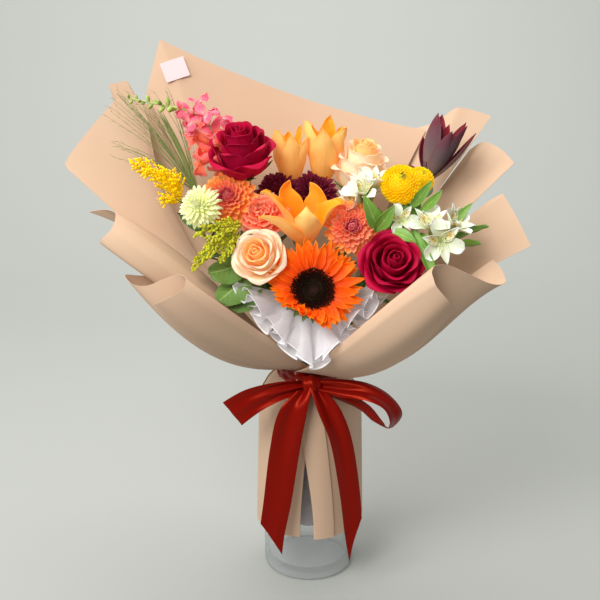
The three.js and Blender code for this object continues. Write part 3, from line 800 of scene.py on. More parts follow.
@dataclass(frozen=True)
class StageFinish(Finish):
    """Plain pale studio surface."""

    def dress(self, graph: Graph) -> None:
        """Fills the node tree."""
        cloud = graph.noise(graph.position(), 3.0)
        graph.shade("Base Color", graph.blend(cloud * 0.2, "b6b8b2", "b0b2ad"))
        graph.shade("Roughness", 0.8)


class Finishes:
    """The finishes of this bouquet."""

    GLASS = GlassFinish("clear_glass", "vase_glass")
    FILM = GrainFinish("sleeve_film", "liner_film", "a99ba0", "c9bfc2", (130.0, 4.0, 0.65), 1.0,
                       (0.35, 0.25), (0.6, 1.2))
    PAPER = PaperFinish("wrapping_paper", "wrap_paper")
    CARD = GrainFinish("plain_card", "card", "ead4d4", "e2c8c8", (900.0, 3.0, 0.5), 0.3,
                       (0.5, 0.1), (0.2, 0.1))
    ORGANZA = OrganzaFinish("organza_cloth", "organza")
    SATIN = SatinFinish("red_satin", "satin")
    STEM = StemFinish("fresh_stem", "green_stem")
    PALE_STEM = StemFinish("pale_stem", "green_stem", "b9cf8c", "86a85a")
    LEAF = LeafFinish("fresh_leaf", "leaf")
    BRIGHT_LEAF = LeafFinish("bright_leaf", "leaf", "74a23a", "b2d078", 3.0)
    ROSE_LEAF = LeafFinish("rose_leaf_green", "leaf", "668a3c", "a0bc6c", 8.0)
    CRIMSON = PetalFinish("crimson_rose", "crimson_petal", "6e0020 a3042f b8073a 8a0226", 0.3,
                          vein=0.15, spread=0.35, roughness=0.6)
    PEACH = PetalFinish("peach_rose", "peach_petal", "ee8a2c f9a84e fdc480 fbb684", 0.35, 0.08, 0.1, 0.6)
    PALE_PEACH = PetalFinish("pale_peach_rose", "peach_petal", "fbb468 fad09c f8dfc0 f2bca8",
                             0.45, 0.08, 0.1, 0.5)
    SUNFLOWER = PetalFinish("sunflower_ray_petal", "sunflower_ray", "d02800 ff5400 ff7608 ff9626",
                            0.25, 0.5, 0.3, 0.35)
    SEEDS = SeedFinish("sunflower_seeds", "sunflower_disc")
    LILY = PetalFinish("lily_inside", "lily_petal", "ff7400 ff8a0a ff9e22 ffb040", 0.3, 0.15, 0.12, 0.5)
    LILY_BACK = PetalFinish("lily_outside", "lily_petal", "f0a03c ffbc66 ffc878 ffa232", 0.45, 0.3, 0.12, 0.5)
    ANTHER = PetalFinish("lily_anther", "lily_petal", "6a3a16 7c4a1e 8a5a2a ffffff")
    DAHLIA = PetalFinish("dahlia_orange", "dahlia_petal", "d2484a f77c36 fb9a4c fdb674", 0.4, 0.25, 0.3, 0.4)
    DAHLIA_HEART = PetalFinish("dahlia_heart", "dahlia_petal", "a02a4a c83e5c e0686a ea8a7c",
                               0.4, 0.25, 0.3, 0.4)
    DAHLIA_ROSY = PetalFinish("dahlia_rosy", "dahlia_petal", "d04058 f0704e f68f66 fab08a",
                              0.4, 0.25, 0.3, 0.4)
    CORAL = PetalFinish("coral_carnation", "coral_petal", "e8482c f76a44 fc8460 ffb096", 0.5, 0.3, 0.3, 0.4)
    PALE_GREEN = PetalFinish("pale_green_flower", "pale_green_petal", "d8e070 f0f29c fafac4 fcfcdc",
                             0.4, 0.3, 0.25, 0.4)
    BURGUNDY = PetalFinish("burgundy_mum", "burgundy_petal", "3a0614 5c0a20 7c1832 983650", 0.4, 0.3, 0.4)
    YELLOW = PetalFinish("yellow_pompon", "yellow_petal", "eca800 ffcc00 ffe00c ffee40", 0.2, 0.1, 0.25, 0.6)
    GOLD = PetalFinish("goldenrod_floret", "yellow_petal", "d89c00 fac800 ffdc14 ffec48", 0.2, 0.1, 0.4, 0.6)
    OLIVE = PetalFinish("olive_bud", "yellow_green_floret", "8f9c24 c0bc2a dcd23a e8de50", 0.2, 0.2, 0.5, 0.4)
    WHITE = SpottedFinish("white_tepal", "white_petal")
    WHITE_MARKED = SpottedFinish("marked_tepal", "white_petal", 1.0)
    DARK = PetalFinish("dark_bract_skin", "dark_bract", "6e4440 7c2230 8a1a2c 8c4a4c",
                       0.3, 0.2, 0.6, 0.2, 0.45)
    DARK_BACK = PetalFinish("dark_bract_back", "dark_bract", "8e7c72 6c5a60 6c2a38 8a5a60",
                            0.3, 0.25, 0.5, 0.1, 0.5)
    PINK = PetalFinish("snapdragon_pink", "snapdragon_petal", "f8ccaa ec6a80 e0526c f8a6b0",
                       0.4, 0.3, 0.3, 0.5)
    SNAP_CORAL = PetalFinish("snapdragon_coral", "snapdragon_petal", "f06044 f87656 f06266 fba48e",
                             0.4, 0.3, 0.3, 0.5)
    BUD = PetalFinish("green_bud", "snapdragon_petal", "7d9440 a3b55a b8c878 c8d488", 0.3, 0.3, 0.4)
    GRASS = StemFinish("grass_green", "grass_blade", "8c9a4e", "5f7034")
    STAGE = StageFinish("stage_grey", "")


# Putting a piece together


class Patchwork:
    """Gathers shapes into the mesh of one piece."""

    def __init__(self) -> None:
        """Starts empty."""
        self.shapes: list[Shape] = []
        self.tones: list[float] = []
        self.finishes: list[Finish] = []

    def add(self, shape: Shape, finish: Finish, matrix: Array | None = None, tone: float = 0.5) -> None:
        """Adds a copy of a shape.

        Args:
            shape: The shape.
            finish: What it is made of.
            matrix: Where it goes.
            tone: Value that its finish varies with, from 0 to 1.
        """
        self.shapes.append(shape if matrix is None else shape.moved(matrix))
        self.tones.append(tone)
        self.finishes.append(finish)

    def mesh(self, name: str) -> bpy.types.Mesh:
        """The mesh of all the shapes, in metres."""
        sizes = [len(shape.points) for shape in self.shapes]
        starts = np.cumsum([0] + sizes[:-1])
        points = np.concatenate([shape.points for shape in self.shapes]) * MILLIMETRE
        corners = np.concatenate([shape.corners + start for shape, start in zip(self.shapes, starts)])
        counts = np.concatenate([shape.counts for shape in self.shapes])
        places = np.concatenate([shape.places for shape in self.shapes])
        mesh = bpy.data.meshes.new(name)
        mesh.vertices.add(len(points))
        mesh.vertices.foreach_set("co", points.astype(np.float32).ravel())
        mesh.loops.add(len(corners))
        mesh.loops.foreach_set("vertex_index", corners.astype(np.int32))
        mesh.polygons.add(len(counts))
        mesh.polygons.foreach_set("loop_start", (np.cumsum(counts) - counts).astype(np.int32))
        mesh.update(calc_edges=True)
        uv = mesh.uv_layers.new(name="places")
        uv.data.foreach_set("uv", places[corners].astype(np.float32).ravel())
        tone = mesh.attributes.new("tone", "FLOAT", "POINT")
        tone.data.foreach_set("value", np.repeat(self.tones, sizes).astype(np.float32))
        return mesh

    def piece(self, name: str, node: str, sharp: float = 50.0) -> Object:
        """Makes the piece.

        Args:
            name: Name of the new object.
            node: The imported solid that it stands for.
            sharp: Edges that turn more than this many degrees stay sharp.

        Returns:
            The object, riding on the bouquet's one body.
        """
        mesh = self.mesh(name)
        kinds = list(dict.fromkeys(self.finishes))
        for kind in kinds:
            mesh.materials.append(kind.material())
        faces = [len(shape.counts) for shape in self.shapes]
        numbers = [kinds.index(finish) for finish in self.finishes]
        mesh.polygons.foreach_set("material_index", np.repeat(numbers, faces).astype(np.int32))
        made = bpy.data.objects.new(name, mesh)
        bpy.context.scene.collection.objects.link(made)
        return settle(made, node, sharp)


def settle(made: Object, node: str, sharp: float) -> Object:
    """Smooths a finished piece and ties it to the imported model.

    Args:
        made: The piece.
        node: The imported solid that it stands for.
        sharp: Edges that turn more than this many degrees stay sharp.

    Returns:
        The piece.
    """
    bpy.ops.object.select_all(action="DESELECT")
    made.select_set(True)
    bpy.context.view_layer.objects.active = made
    bpy.ops.object.shade_smooth_by_angle(angle=math.radians(sharp))
    made.select_set(False)
    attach(made, BODY)
    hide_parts(node)
    log.info("%s: %d faces", made.name, len(made.data.polygons))
    return made


@dataclass
class Grown:
    """A flower, leaf or stem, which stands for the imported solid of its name.

    Attributes:
        name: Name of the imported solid.
        ending: What the piece's own name adds to it.
        seed: Seed of its small differences; 0 takes the length of its name.
    """

    name: str

    ending = "bloom"
    seed = 0

    def grow(self, work: Patchwork, dice: Dice) -> None:
        """Adds its shapes."""
        raise NotImplementedError

    def build(self) -> Object:
        """Makes the piece."""
        work = Patchwork()
        self.grow(work, np.random.default_rng(self.seed or len(self.name)))
        return work.piece(f"{self.name}_{self.ending}", self.name)


# Petals and leaves


class Outline(Enum):
    """A petal's outline: share of its width at the foot, place of the widest part, fullness, bluntness."""

    LANCE = (0.3, 0.42, 1.5, 1.1)
    OVAL = (0.25, 0.5, 2.0, 2.0)
    SPOON = (0.3, 0.66, 2.2, 2.0)
    STRAP = (0.6, 0.6, 3.0, 1.8)
    FAN = (0.15, 0.86, 3.0, 2.4)
    DROP = (0.45, 0.35, 1.2, 1.2)
    TEPAL = (0.32, 0.52, 1.7, 1.35)

    def width_at(self, v: Array) -> Array:
        """The share of the full width at places along the petal."""
        foot, peak, fullness, bluntness = self.value
        rising = foot + (1.0 - foot) * np.sin(np.clip(v / peak, 0.0, 1.0) * math.pi / 2)
        past = np.clip((v - peak) / (1.0 - peak), 0.0, 1.0)
        falling = np.maximum(1.0 - past**fullness, 0.0) ** (1.0 / bluntness)
        return np.maximum(rising * falling, 0.03)


@dataclass
class Blade:
    """A petal, bract or leaf that follows a curved line.

    Attributes:
        line: Points of its middle line, from foot to tip.
        side: Direction across it.
        cup: Rise of its side edges, as a share of its half width.
        fold: Depth of the fold along its middle, as a share of its half width.
        ruffle, waves, phase: Height, number and start of the waves in its side edges.
        twist: Turn from foot to tip, in degrees.
        notch: Depth of the teeth in its end.
        offset: Shift towards its upper side.
        columns, rows: Number of faces across and along.
    """

    line: Sequence[Point]
    side: Point = (1.0, 0.0, 0.0)
    width: float = 10.0
    outline: Outline = Outline.OVAL
    cup: float = 0.25
    fold: float = 0.0
    ruffle: float = 0.0
    waves: float = 3.0
    phase: float = 0.0
    twist: float = 0.0
    notch: float = 0.0
    offset: float = 0.0
    thickness: float = 0.5
    columns: int = 6
    rows: int = 10

    def surface(self, u: Array, v: Array) -> Array:
        """The middle of the blade at places across and along it."""
        s = 2.0 * u - 1.0
        reach = v - self.notch * v**6 * (0.5 + 0.5 * np.cos(u * 6 * math.pi)) - 0.02 * s**2 * v**4
        centre = spline(self.line, reach)
        ahead, back = np.minimum(reach + 0.01, 1.0), np.maximum(reach - 0.01, 0.0)
        tangent = unit(spline(self.line, ahead) - spline(self.line, back))
        side = floats(self.side)
        flat = unit(side - tangent * (tangent @ side)[:, None])
        upper = np.cross(flat, tangent)
        turn = np.radians(self.twist) * v[:, None]
        across = flat * np.cos(turn) + upper * np.sin(turn)
        normal = upper * np.cos(turn) - flat * np.sin(turn)
        half = self.width / 2 * self.outline.width_at(v)
        lift = half * (self.cup * s**2 + self.fold * np.abs(s))
        lift = lift + self.ruffle * s**2 * v * np.sin(ROUND * self.waves * v + self.phase + 2.5 * s)
        lift = lift + self.offset
        return centre + across * (half * s)[:, None] + normal * lift[:, None]

    def shape(self) -> Shape:
        """The blade as a thin closed shape."""
        return shaped(self.surface, self.columns, self.rows, self.thickness)


def bowed(foot: Point, tip: Point, bow: float, facing: Point, width: float, **more: object) -> Blade:
    """A blade between two points.

    Args:
        foot: Where it starts.
        tip: Where it ends.
        bow: How far its middle stands off the straight line, against its facing side.
        facing: Direction that its upper side looks to.
        width: Its width.
        **more: Other fields of the blade.

    Returns:
        The blade.
    """
    start, end, up = floats(foot), floats(tip), unit(floats(facing))
    run = end - start
    normal = unit(up - unit(run) * (up @ unit(run)))
    quarter = start + run * 0.25 - normal * bow * 0.75
    middle = start + run * 0.55 - normal * bow
    late = start + run * 0.82 - normal * bow * 0.55
    return Blade((start, quarter, middle, late, end), np.cross(unit(run), normal), width, **more)


# Vase and sleeve


@dataclass
class Vase:
    """The glass cylinder, with a thick base and rounded heels."""

    radius: float = 55.0
    height: float = 226.0
    wall: float = 3.5
    base: float = 12.0
    dimple: float = 0.8
    heel: float = 6.0
    sides: int = 128

    def build(self) -> Object:
        """Spins the profile, with rounded rim and heels, and makes it glass."""
        inner = self.radius - self.wall
        outer_heel = [
            (self.radius - self.heel * (1 - math.sin(a)), self.heel * (1 - math.cos(a)))
            for a in np.linspace(0.0, math.pi / 2, 7)
        ]
        round_edge = self.wall / 2
        rim_middle = self.radius - round_edge
        rim = [
            (rim_middle + round_edge * math.cos(a), self.height - round_edge + round_edge * math.sin(a))
            for a in np.linspace(0.0, math.pi, 9)
        ]
        bowl = self.heel * 1.5
        inner_heel = [
            (inner - bowl * (1 - math.cos(a)), self.base + bowl * (1 - math.sin(a)))
            for a in np.linspace(0.0, math.pi / 2, 8)
        ]
        profile = [(0.0, 0.0), *outer_heel, *rim, *inner_heel, (0.0, self.base - self.dimple)]
        made = revolved(profile, self.sides)
        made.name = "vase"
        made.data.materials.append(Finishes.GLASS.material())
        return settle(made, "glass_vase", 30.0)


@dataclass
class Sleeve:
    """The film sleeve round the cut stems, open at the top, whose sides overlap."""

    radius: float = 31.4
    wall: float = 0.8
    top: float = 274.0
    shoulder: float = 84.0
    bottom: float = 54.0
    crease: float = 0.5
    creases: int = 11
    overlap: float = 0.9

    def surface(self, u: Array, v: Array) -> Array:
        """The film at places round and along it."""
        angle = ROUND * 1.03 * u + math.pi / 2
        low = np.clip(v / 0.25, 0.0, 1.0)
        radius = self.radius * np.sqrt(np.maximum(1 - (1 - low) ** 2, 0.0))
        rounded = mix(self.bottom, self.shoulder, low**1.6)
        straight = mix(self.shoulder, self.top, (v - 0.25) / 0.75)
        height = np.where(v < 0.25, rounded, straight)
        radius = radius - self.crease * low * (1 + np.sin(angle * self.creases + 0.02 * height)) * 0.5
        radius = np.maximum(radius, 0.02) + self.overlap * u * low
        return np.stack([radius * np.cos(angle), radius * np.sin(angle), height], axis=1)

    def build(self) -> Object:
        """Makes the sleeve."""
        work = Patchwork()
        work.add(shaped(self.surface, 96, 60, self.wall), Finishes.FILM)
        return work.piece("film_sleeve", "stem_liner")


# Wrapping paper


class Tie:
    """The neck where the ribbon grips the paper, and the skirt below it."""

    top = 272.0
    bottom = 259.0
    hem = 68.0
    radius = 33.0
    pitch = 2.0
    # Height, radius of the innermost layer, and step from one layer to the next.
    skirt = ((top, radius, pitch), (bottom, radius, pitch), (246.0, 46.5, 1.5), (230.0, 55.6, 1.25),
             (205.0, 58.8, 1.2), (140.0, 60.4, 1.2), (hem, 62.0, 1.2))

    @classmethod
    def radius_at(cls, layer: Array, height: Array) -> Array:
        """Radius of a paper layer at heights below the tie."""
        heights, bases, pitches = floats(cls.skirt)[::-1].T
        return np.interp(height, heights, bases) + np.interp(height, heights, pitches) * layer

    @classmethod
    def folds(cls, angle: Array, height: Array) -> Array:
        """Soft folds that all layers share, growing away from the tie."""
        away = np.clip((cls.bottom - height) / 60.0, 0.0, 1.0)
        wide = np.sin(angle * 5.0 + 0.6) * 0.9 + np.sin(angle * 9.0 + 2.0) * 0.5
        gathers = np.sin(angle * 23.0) * np.clip((height - 200.0) / 40.0, 0.0, 1.0) * 0.7
        return away * (wide + gathers)


@dataclass
class WrapSheet:
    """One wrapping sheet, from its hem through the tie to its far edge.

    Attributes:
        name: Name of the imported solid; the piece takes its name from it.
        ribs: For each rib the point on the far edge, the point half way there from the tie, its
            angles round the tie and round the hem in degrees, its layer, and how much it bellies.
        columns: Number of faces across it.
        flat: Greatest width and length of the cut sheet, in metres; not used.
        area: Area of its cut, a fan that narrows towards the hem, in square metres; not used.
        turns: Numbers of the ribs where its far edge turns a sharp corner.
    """

    name: str
    ribs: Sequence[tuple]
    columns: int
    flat: tuple[float, float]
    area: float
    turns: tuple[int, ...] = ()
    rows_above: int = 44
    rows_below: int = 30
    thickness: float = 0.4

    def __post_init__(self) -> None:
        """Lays the ribs' values in a table."""
        self.table = floats([(*end, *mid, *(*rest, 0.0)[:4]) for end, mid, *rest in self.ribs])
        self.marks = chord_marks(self.table[:, :3])

    def rib(self, u: Array) -> Array:
        """The ribs at places across the sheet, where the listed ones lie at even steps."""
        last = len(self.marks) - 1
        places = np.interp(u * last, np.arange(last + 1), self.marks)
        ribs = through(self.table, self.marks, places)
        ends = (0, *self.turns, last)
        for low, high in zip(ends[:-1], ends[1:]):
            part = slice(low, high + 1)
            inside = (places >= self.marks[low]) & (places <= self.marks[high])
            ribs[inside, :3] = through(self.table[part, :3], self.marks[part], places[inside])
        return ribs

    def above(self, rib: Array, v: Array) -> Array:
        """The sheet above the tie, from 0 at the tie to 1 at the far edge."""
        end, mid, tie = rib[:, :3], rib[:, 3:6], np.radians(rib[:, 6])
        layer, swell = rib[:, 8], rib[:, 9:10]
        radial = np.stack([np.cos(tie), np.sin(tie), np.zeros_like(tie)], axis=1)
        neck = radial * (Tie.radius + Tie.pitch * layer)[:, None] + (0.0, 0.0, Tie.top)
        apex = 2 * mid - (neck + end) / 2
        belly = radial * 0.6 * swell - swell * np.array((0.0, 0.0, 1.0))
        first = mix(neck, apex, 2 / 3) + belly
        second = mix(end, apex, 2 / 3) - belly
        t = v[:, None]
        w = 1 - t
        return neck * w**3 + first * 3 * t * w**2 + second * 3 * t**2 * w + end * t**3

    def below(self, rib: Array, height: Array) -> Array:
        """The gripped neck and the skirt at heights below the tie."""
        tie, hem, layer = np.radians(rib[:, 6]), np.radians(rib[:, 7]), rib[:, 8]
        part = np.minimum((Tie.top - height) / (Tie.bottom - Tie.hem), 1.0)
        angle = hem + (tie - hem) * (1 - part) ** 1.4
        radius = Tie.radius_at(layer, height) + Tie.folds(angle, height)
        return np.stack([radius * np.cos(angle), radius * np.sin(angle), height], axis=1)

    def surface(self, u: Array, v: Array) -> Array:
        """The whole sheet, from its hem to its far edge."""
        rib = self.rib(u)
        turn = self.rows_below / (self.rows_below + self.rows_above)
        low = np.clip(v / turn, 0.0, 1.0)
        high = np.clip((v - turn) / (1 - turn), 0.0, 1.0)
        under = self.below(rib, mix(Tie.hem, Tie.top, low))
        return np.where((v > turn)[:, None], self.above(rib, high), under)

    def build(self) -> Object:
        """Makes the sheet."""
        work = Patchwork()
        rows = self.rows_below + self.rows_above
        work.add(shaped(self.surface, self.columns, rows, self.thickness), Finishes.PAPER)
        made = work.piece(f"{self.name}_paper", self.name)
        return made


class Wrap:
    """All wrapping sheets, as they were laid."""

    sheets = (
        WrapSheet("back_sheet", (
            ((-192, 85, 570), (-112, 50, 425), 140, 140, 0),
            ((-175, 100, 632), (-98, 58, 450), 130, 130, 0),
            ((-114, 112, 602), (-62, 70, 440), 116, 118, 0),
            ((-11, 120, 562), (-6, 78, 425), 92, 92, 0),
            ((74, 112, 538), (42, 72, 415), 74, 72, 0),
            ((140, 98, 525), (80, 62, 408), 58, 55, 0),
        ), 85, (0.41, 0.60), 0.081, (1,)),
        WrapSheet("back_left_sheet", (
            ((-218, 50, 535), (-137, 24, 384), 171, 177, 2),
            ((-222, 58, 552), (-138, 36, 405), 160, 166, 2),
            ((-232, 66, 584), (-138, 42, 415), 156, 160, 2),
            ((-211, 68, 588), (-126, 46, 420), 149, 150, 2),
            ((-196, 76, 561), (-116, 53, 414), 144, 142, 2),
            ((-180, 90, 562), (-104, 62, 412), 137, 134, 2),
        ), 40, (0.15, 0.58), 0.027, (2, 3)),
        WrapSheet("left_upper_sheet", (
            ((-271, -3, 499), (-140, -20, 378), 203, 204, 1),
            ((-274, 0, 506), (-141, -12, 390), 195, 196, 1),
            ((-250, 18, 538), (-147, 0, 406), 186, 186, 1),
            ((-220, 33, 571), (-149, 8, 416), 176, 174, 1),
            ((-197, 38, 575), (-146, 14, 416), 168, 162, 1),
            ((-184, 34, 548), (-140, 20, 408), 160, 150, 1),
        ), 66, (0.16, 0.56), 0.029, (3,)),
        WrapSheet("left_middle_sheet", (
            ((-246, -28, 456), (-134, -38, 394), 218, 216, 2),
            ((-225, -42, 462), (-124, -50, 396), 226, 222, 2),
            ((-212, -56, 462), (-115, -62, 392), 234, 228, 2),
            ((-210, -66, 458), (-114, -74, 386), 235.4, 228.8, 2.5),
            ((-211, -73, 453), (-117, -78, 381), 234, 228, 3),
            ((-215, -78, 447), (-122, -80, 376), 229, 222, 3),
            ((-225, -82, 436), (-134, -74, 362), 214, 206, 3),
            ((-215, -66, 424), (-126, -52, 355), 202, 194, 3),
        ), 84, (0.12, 0.50), 0.033),
        WrapSheet("left_front_sheet", (
            ((-168, -48, 386), (-100, -54, 318), 200, 200, 4),
            ((-192, -60, 392), (-118, -66, 316), 210, 206, 4, 6),
            ((-201, -76, 397), (-124, -80, 317), 220, 214, 4, 8),
            ((-191, -92, 392), (-118, -92, 316), 230, 222, 4, 8),
            ((-174, -104, 394), (-108, -102, 320), 242, 232, 4, 6),
            ((-155, -116, 405), (-94, -108, 333), 256, 244, 4),
            ((-137, -128, 414), (-78, -112, 350), 268, 254, 4),
            ((-130, -136, 414), (-70, -113, 354), 274.5, 260, 4),
            ((-128, -142, 412), (-67, -115, 356), 276, 260.6, 4.5),
            ((-129, -147, 407), (-68.5, -117.5, 352.5), 274.5, 260, 5),
            ((-133, -150, 403), (-72, -119, 348), 273, 257, 5),
            ((-153, -148, 391), (-90, -118, 332), 269, 249, 5),
            ((-163, -134, 383), (-102, -108, 319), 265, 241, 5),
        ), 120, (0.21, 0.44), 0.051),
        WrapSheet("right_upper_sheet", (
            ((112, 122, 520), (64, 80, 404), 69, 70, 1),
            ((142, 106, 530), (82, 70, 404), 62, 64, 1),
            ((160, 82, 545), (93, 54, 404), 56, 58, 1),
            ((172, 72, 556), (99, 47, 408), 52, 54, 1),
            ((188, 66, 555), (105, 43, 408), 45, 46, 1),
            ((211, 56, 549), (111, 36, 404), 36, 34, 1),
        ), 50, (0.14, 0.54), 0.028),
        WrapSheet("right_middle_sheet", (
            ((189, 66, 508), (104, 46, 390), 45, 46, 2),
            ((204, 60, 518), (113, 37, 399), 35, 36, 2),
            ((221, 44, 513), (122, 28, 398), 25, 24, 2),
            ((233, 16, 502), (130, 14, 390), 14, 12, 2),
        ), 45, (0.08, 0.51), 0.020),
        WrapSheet("right_lower_sheet", (
            ((203, -10, 465), (119, 2, 380), 14, 16, 3),
            ((216, -16, 474), (125, -8, 378), 6, 6, 3),
            ((230, -36, 450), (131, -22, 366), -6, -8, 3),
            ((243, -54, 424), (134, -34, 352), -20, -24, 3),
        ), 45, (0.09, 0.48), 0.021, (1,)),
        WrapSheet("right_front_sheet", (
            ((201, -60, 410), (126, -56, 346), -22, -18, 4, 8),
            ((209, -68, 402), (131, -68, 340), -30, -24, 4, 14),
            ((212, -82, 391), (131, -80, 328), -40, -32, 4, 22),
            ((195, -98, 394), (124, -88, 318), -52, -42, 4, 24),
            ((168, -112, 409), (108, -98, 320), -64, -54, 5.2, 18),
            ((144, -122, 422), (80, -106, 332), -82, -66, 6.6, 10),
            ((129, -132, 425), (54, -112, 342), -101, -78, 7, 12),
            ((126, -138, 424), (47.5, -115.5, 343), -109, -84.6, 7.2, 13),
            ((124, -144, 421), (43, -119, 343), -110.8, -85.2, 7.75, 13),
            ((125.3, -148.5, 416), (45.5, -123, 341), -109, -84.6, 8.3, 13),
            ((128, -152, 409), (50, -126, 337), -105, -82, 8.3, 12),
            ((141, -150, 393), (70, -126, 322), -94, -74, 8.3, 6),
            ((152, -136, 380), (94, -114, 309), -82, -66, 8.3, 12),
        ), 120, (0.21, 0.45), 0.062),
    )

    def build(self) -> None:
        """Makes every sheet."""
        for sheet in self.sheets:
            sheet.build()


@dataclass
class Card:
    """The small bare card, stuck flat on the inner side of the back sheet.

    Attributes:
        place: Its middle on the sheet, across it and from the tie to its far edge.
        facing: Direction that it looks to.
        size: Its width and height.
        turn: Its turn on the sheet, in degrees.
        gap: Distance from the middle of the sheet to the middle of the card.
    """

    place: tuple[float, float] = (0.212, 0.91)
    facing: Point = (0.226, -0.912, 0.342)
    size: tuple[float, float] = (29.3, 23.6)
    turn: float = 17.0
    gap: float = 1.2
    thickness: float = 0.5

    def build(self) -> Object:
        """Makes the card."""
        sheet = Wrap.sheets[0]
        across, along = np.array([self.place]).T
        middle = sheet.above(sheet.rib(across), along)[0] + unit(floats(self.facing)) * self.gap
        work = Patchwork()
        matrix = placing(middle, self.facing, self.turn) @ scaling(*self.size, self.thickness)
        work.add(plate(1, 1), Finishes.CARD, matrix)
        return work.piece("bare_card", "gift_card", 30.0)


# Ribbon and organza


@dataclass(frozen=True)
class Strip:
    """A stretch of ribbon.

    Attributes:
        points: Points of its middle line.
        widths: At each point, the vector from one edge to the other.
        fold: Depth of the soft folds along it at its start, its middle and its end.
        folds: Number of them.
        slant: How much shorter its first edge is cut, as a share of its length; the second if negative.
        rows: Number of faces along it.
    """

    points: Sequence[Point]
    widths: Sequence[Point]
    fold: tuple[float, float, float] = (2.2, 0.5, 0.5)
    folds: float = 1.5
    slant: float = 0.0
    rows: int = 64
    thickness: float = 0.5

    def surface(self, u: Array, v: Array) -> Array:
        """The middle of the ribbon."""
        table = np.concatenate([floats(self.points), floats(self.widths)], axis=1)
        marks = chord_marks(table[:, :3])
        short_side = 1 - u if self.slant > 0 else u
        reach = v - abs(self.slant) * short_side * v**3
        here = through(table, marks, reach)
        ahead = through(table, marks, np.minimum(reach + 0.01, 1.0))
        back = through(table, marks, np.maximum(reach - 0.01, 0.0))
        normal = unit(np.cross(here[:, 3:], ahead[:, :3] - back[:, :3]))
        depth = np.interp(v, (0.0, 0.5, 1.0), self.fold)
        wave = depth * np.cos(ROUND * self.folds * (u - 0.5) + 1.5 * v)
        return here[:, :3] + here[:, 3:] * (u - 0.5)[:, None] + normal * wave[:, None]

    def shape(self) -> Shape:
        """The ribbon as a thin closed shape."""
        return shaped(self.surface, 20, self.rows, self.thickness)


@dataclass
class Bow:
    """The satin ribbon: a gathered band round the tie, a knot, two loops and two tails.

    Attributes:
        left_loop, right_loop, left_tail, right_tail: Its free stretches.
        grip: Radius of the band at angles round the tie, in degrees, where it lies on the paper.
        knot: Half sizes of the knot.
        knot_place: Its middle.
        flat: Size of the whole ribbon before it was tied, in metres; not used.
    """

    left_loop: Strip = Strip(
        ((-4, -64, 262), (-36, -76, 260), (-66, -84, 251), (-87, -84, 236), (-69, -77, 245),
         (-38, -68, 255), (-4, -60, 260)),
        ((0, 3, 14), (-4, 3, 22), (-13, 2, 28), (-21, 0, 28), (-15, -2, 28), (-5, -3, 20), (0, -3, 14)),
        (2.6, 0.2, 2.4), 2.0)
    right_loop: Strip = Strip(
        ((8, -64, 262), (36, -76, 264), (64, -84, 263), (86, -89, 253), (97, -91, 235), (90, -89, 221),
         (78, -83, 226), (62, -75, 240), (34, -68, 253), (8, -60, 260)),
        ((0, 3, 14), (2, 12, 17), (4, 20, 13), (9, 22, 7), (16, 20, 0), (6, 20, -9), (-7, 16, -10),
         (-9, 12, -13), (-4, 4, -16), (0, -3, -14)),
        (2.2, 0.3, 1.6), 1.6)
    left_tail: Strip = Strip(
        ((-5, -69, 260), (-18, -79, 240), (-27, -82, 198), (-37, -84, 124), (-44, -85, 80), (-46, -86, 56)),
        ((18, 0, 6), (33, 0, 6), (35, 0, 4), (33, 0, 4), (30, 0, 2), (28, 0, 0)), (3.0, 0.5, 0.4), 1.2, 0.2)
    right_tail: Strip = Strip(
        ((9, -69, 260), (22, -80, 238), (36, -83, 200), (47, -84, 134), (52, -85, 82), (56, -86, 46)),
        ((18, 0, -4), (28, 6, -5), (26, 10, -5), (24, 8, -4), (21, 4, -2), (17, 0, 0)),
        (3.0, 0.5, 0.4), 1.2, -0.26)
    grip: tuple = ((-92, 51.4), (-75, 49.2), (-55, 45.0), (-20, 42.8), (20, 40.4), (50, 38.0), (90, 35.6),
                   (120, 36.4), (150, 39.2), (190, 38.6), (208, 41.4), (235, 45.2), (255, 50.4), (272, 51.6))
    knot: Point = (14.5, 10.5, 11.5)
    knot_place: Point = (2.0, -62.0, 262.0)
    flat: tuple[float, float] = (0.034, 0.95)

    def band(self, u: Array, v: Array) -> Array:
        """The band round the tie, whose ends overlap behind the knot."""
        turns, radii = floats(self.grip).T
        angle = math.radians(turns[0]) + u * math.radians(turns[-1] - turns[0])
        crush = np.sin(angle * 19.0 + 5.0 * v) * 0.4 + np.sin(v * 4 * math.pi + angle * 3.0) * 0.5
        radius = np.interp(np.degrees(angle), turns, radii) + crush + 0.5 * u
        height = mix(Tie.bottom - 2.0, Tie.top + 1.0, v)
        return np.stack([radius * np.cos(angle), radius * np.sin(angle), height], axis=1)

    def wrapped_knot(self) -> Shape:
        """The knot, with the folds of the ribbon that wraps it."""
        ball = bead(5)
        way = ball.points * 2.0
        folds = np.sin(way[:, 0] * 9.0 + way[:, 2] * 1.6) * 0.05
        pinch = 1.0 + folds - 0.16 * (1.0 - way[:, 2] ** 2) * way[:, 0] ** 2
        points = way * pinch[:, None] * floats(self.knot) + floats(self.knot_place)
        return Shape(points, ball.corners, ball.counts, way[:, ::2] * 0.5 + 0.5)

    def build(self) -> Object:
        """Makes the ribbon."""
        work = Patchwork()
        strips = (self.left_loop, self.right_loop, self.left_tail, self.right_tail)
        free = [strip.shape() for strip in strips]
        for shape in (shaped(self.band, 200, 12, 0.5), self.wrapped_knot(), *free):
            work.add(shape, Finishes.SATIN)
        made = work.piece("satin_bow", "satin_ribbon")
        return made


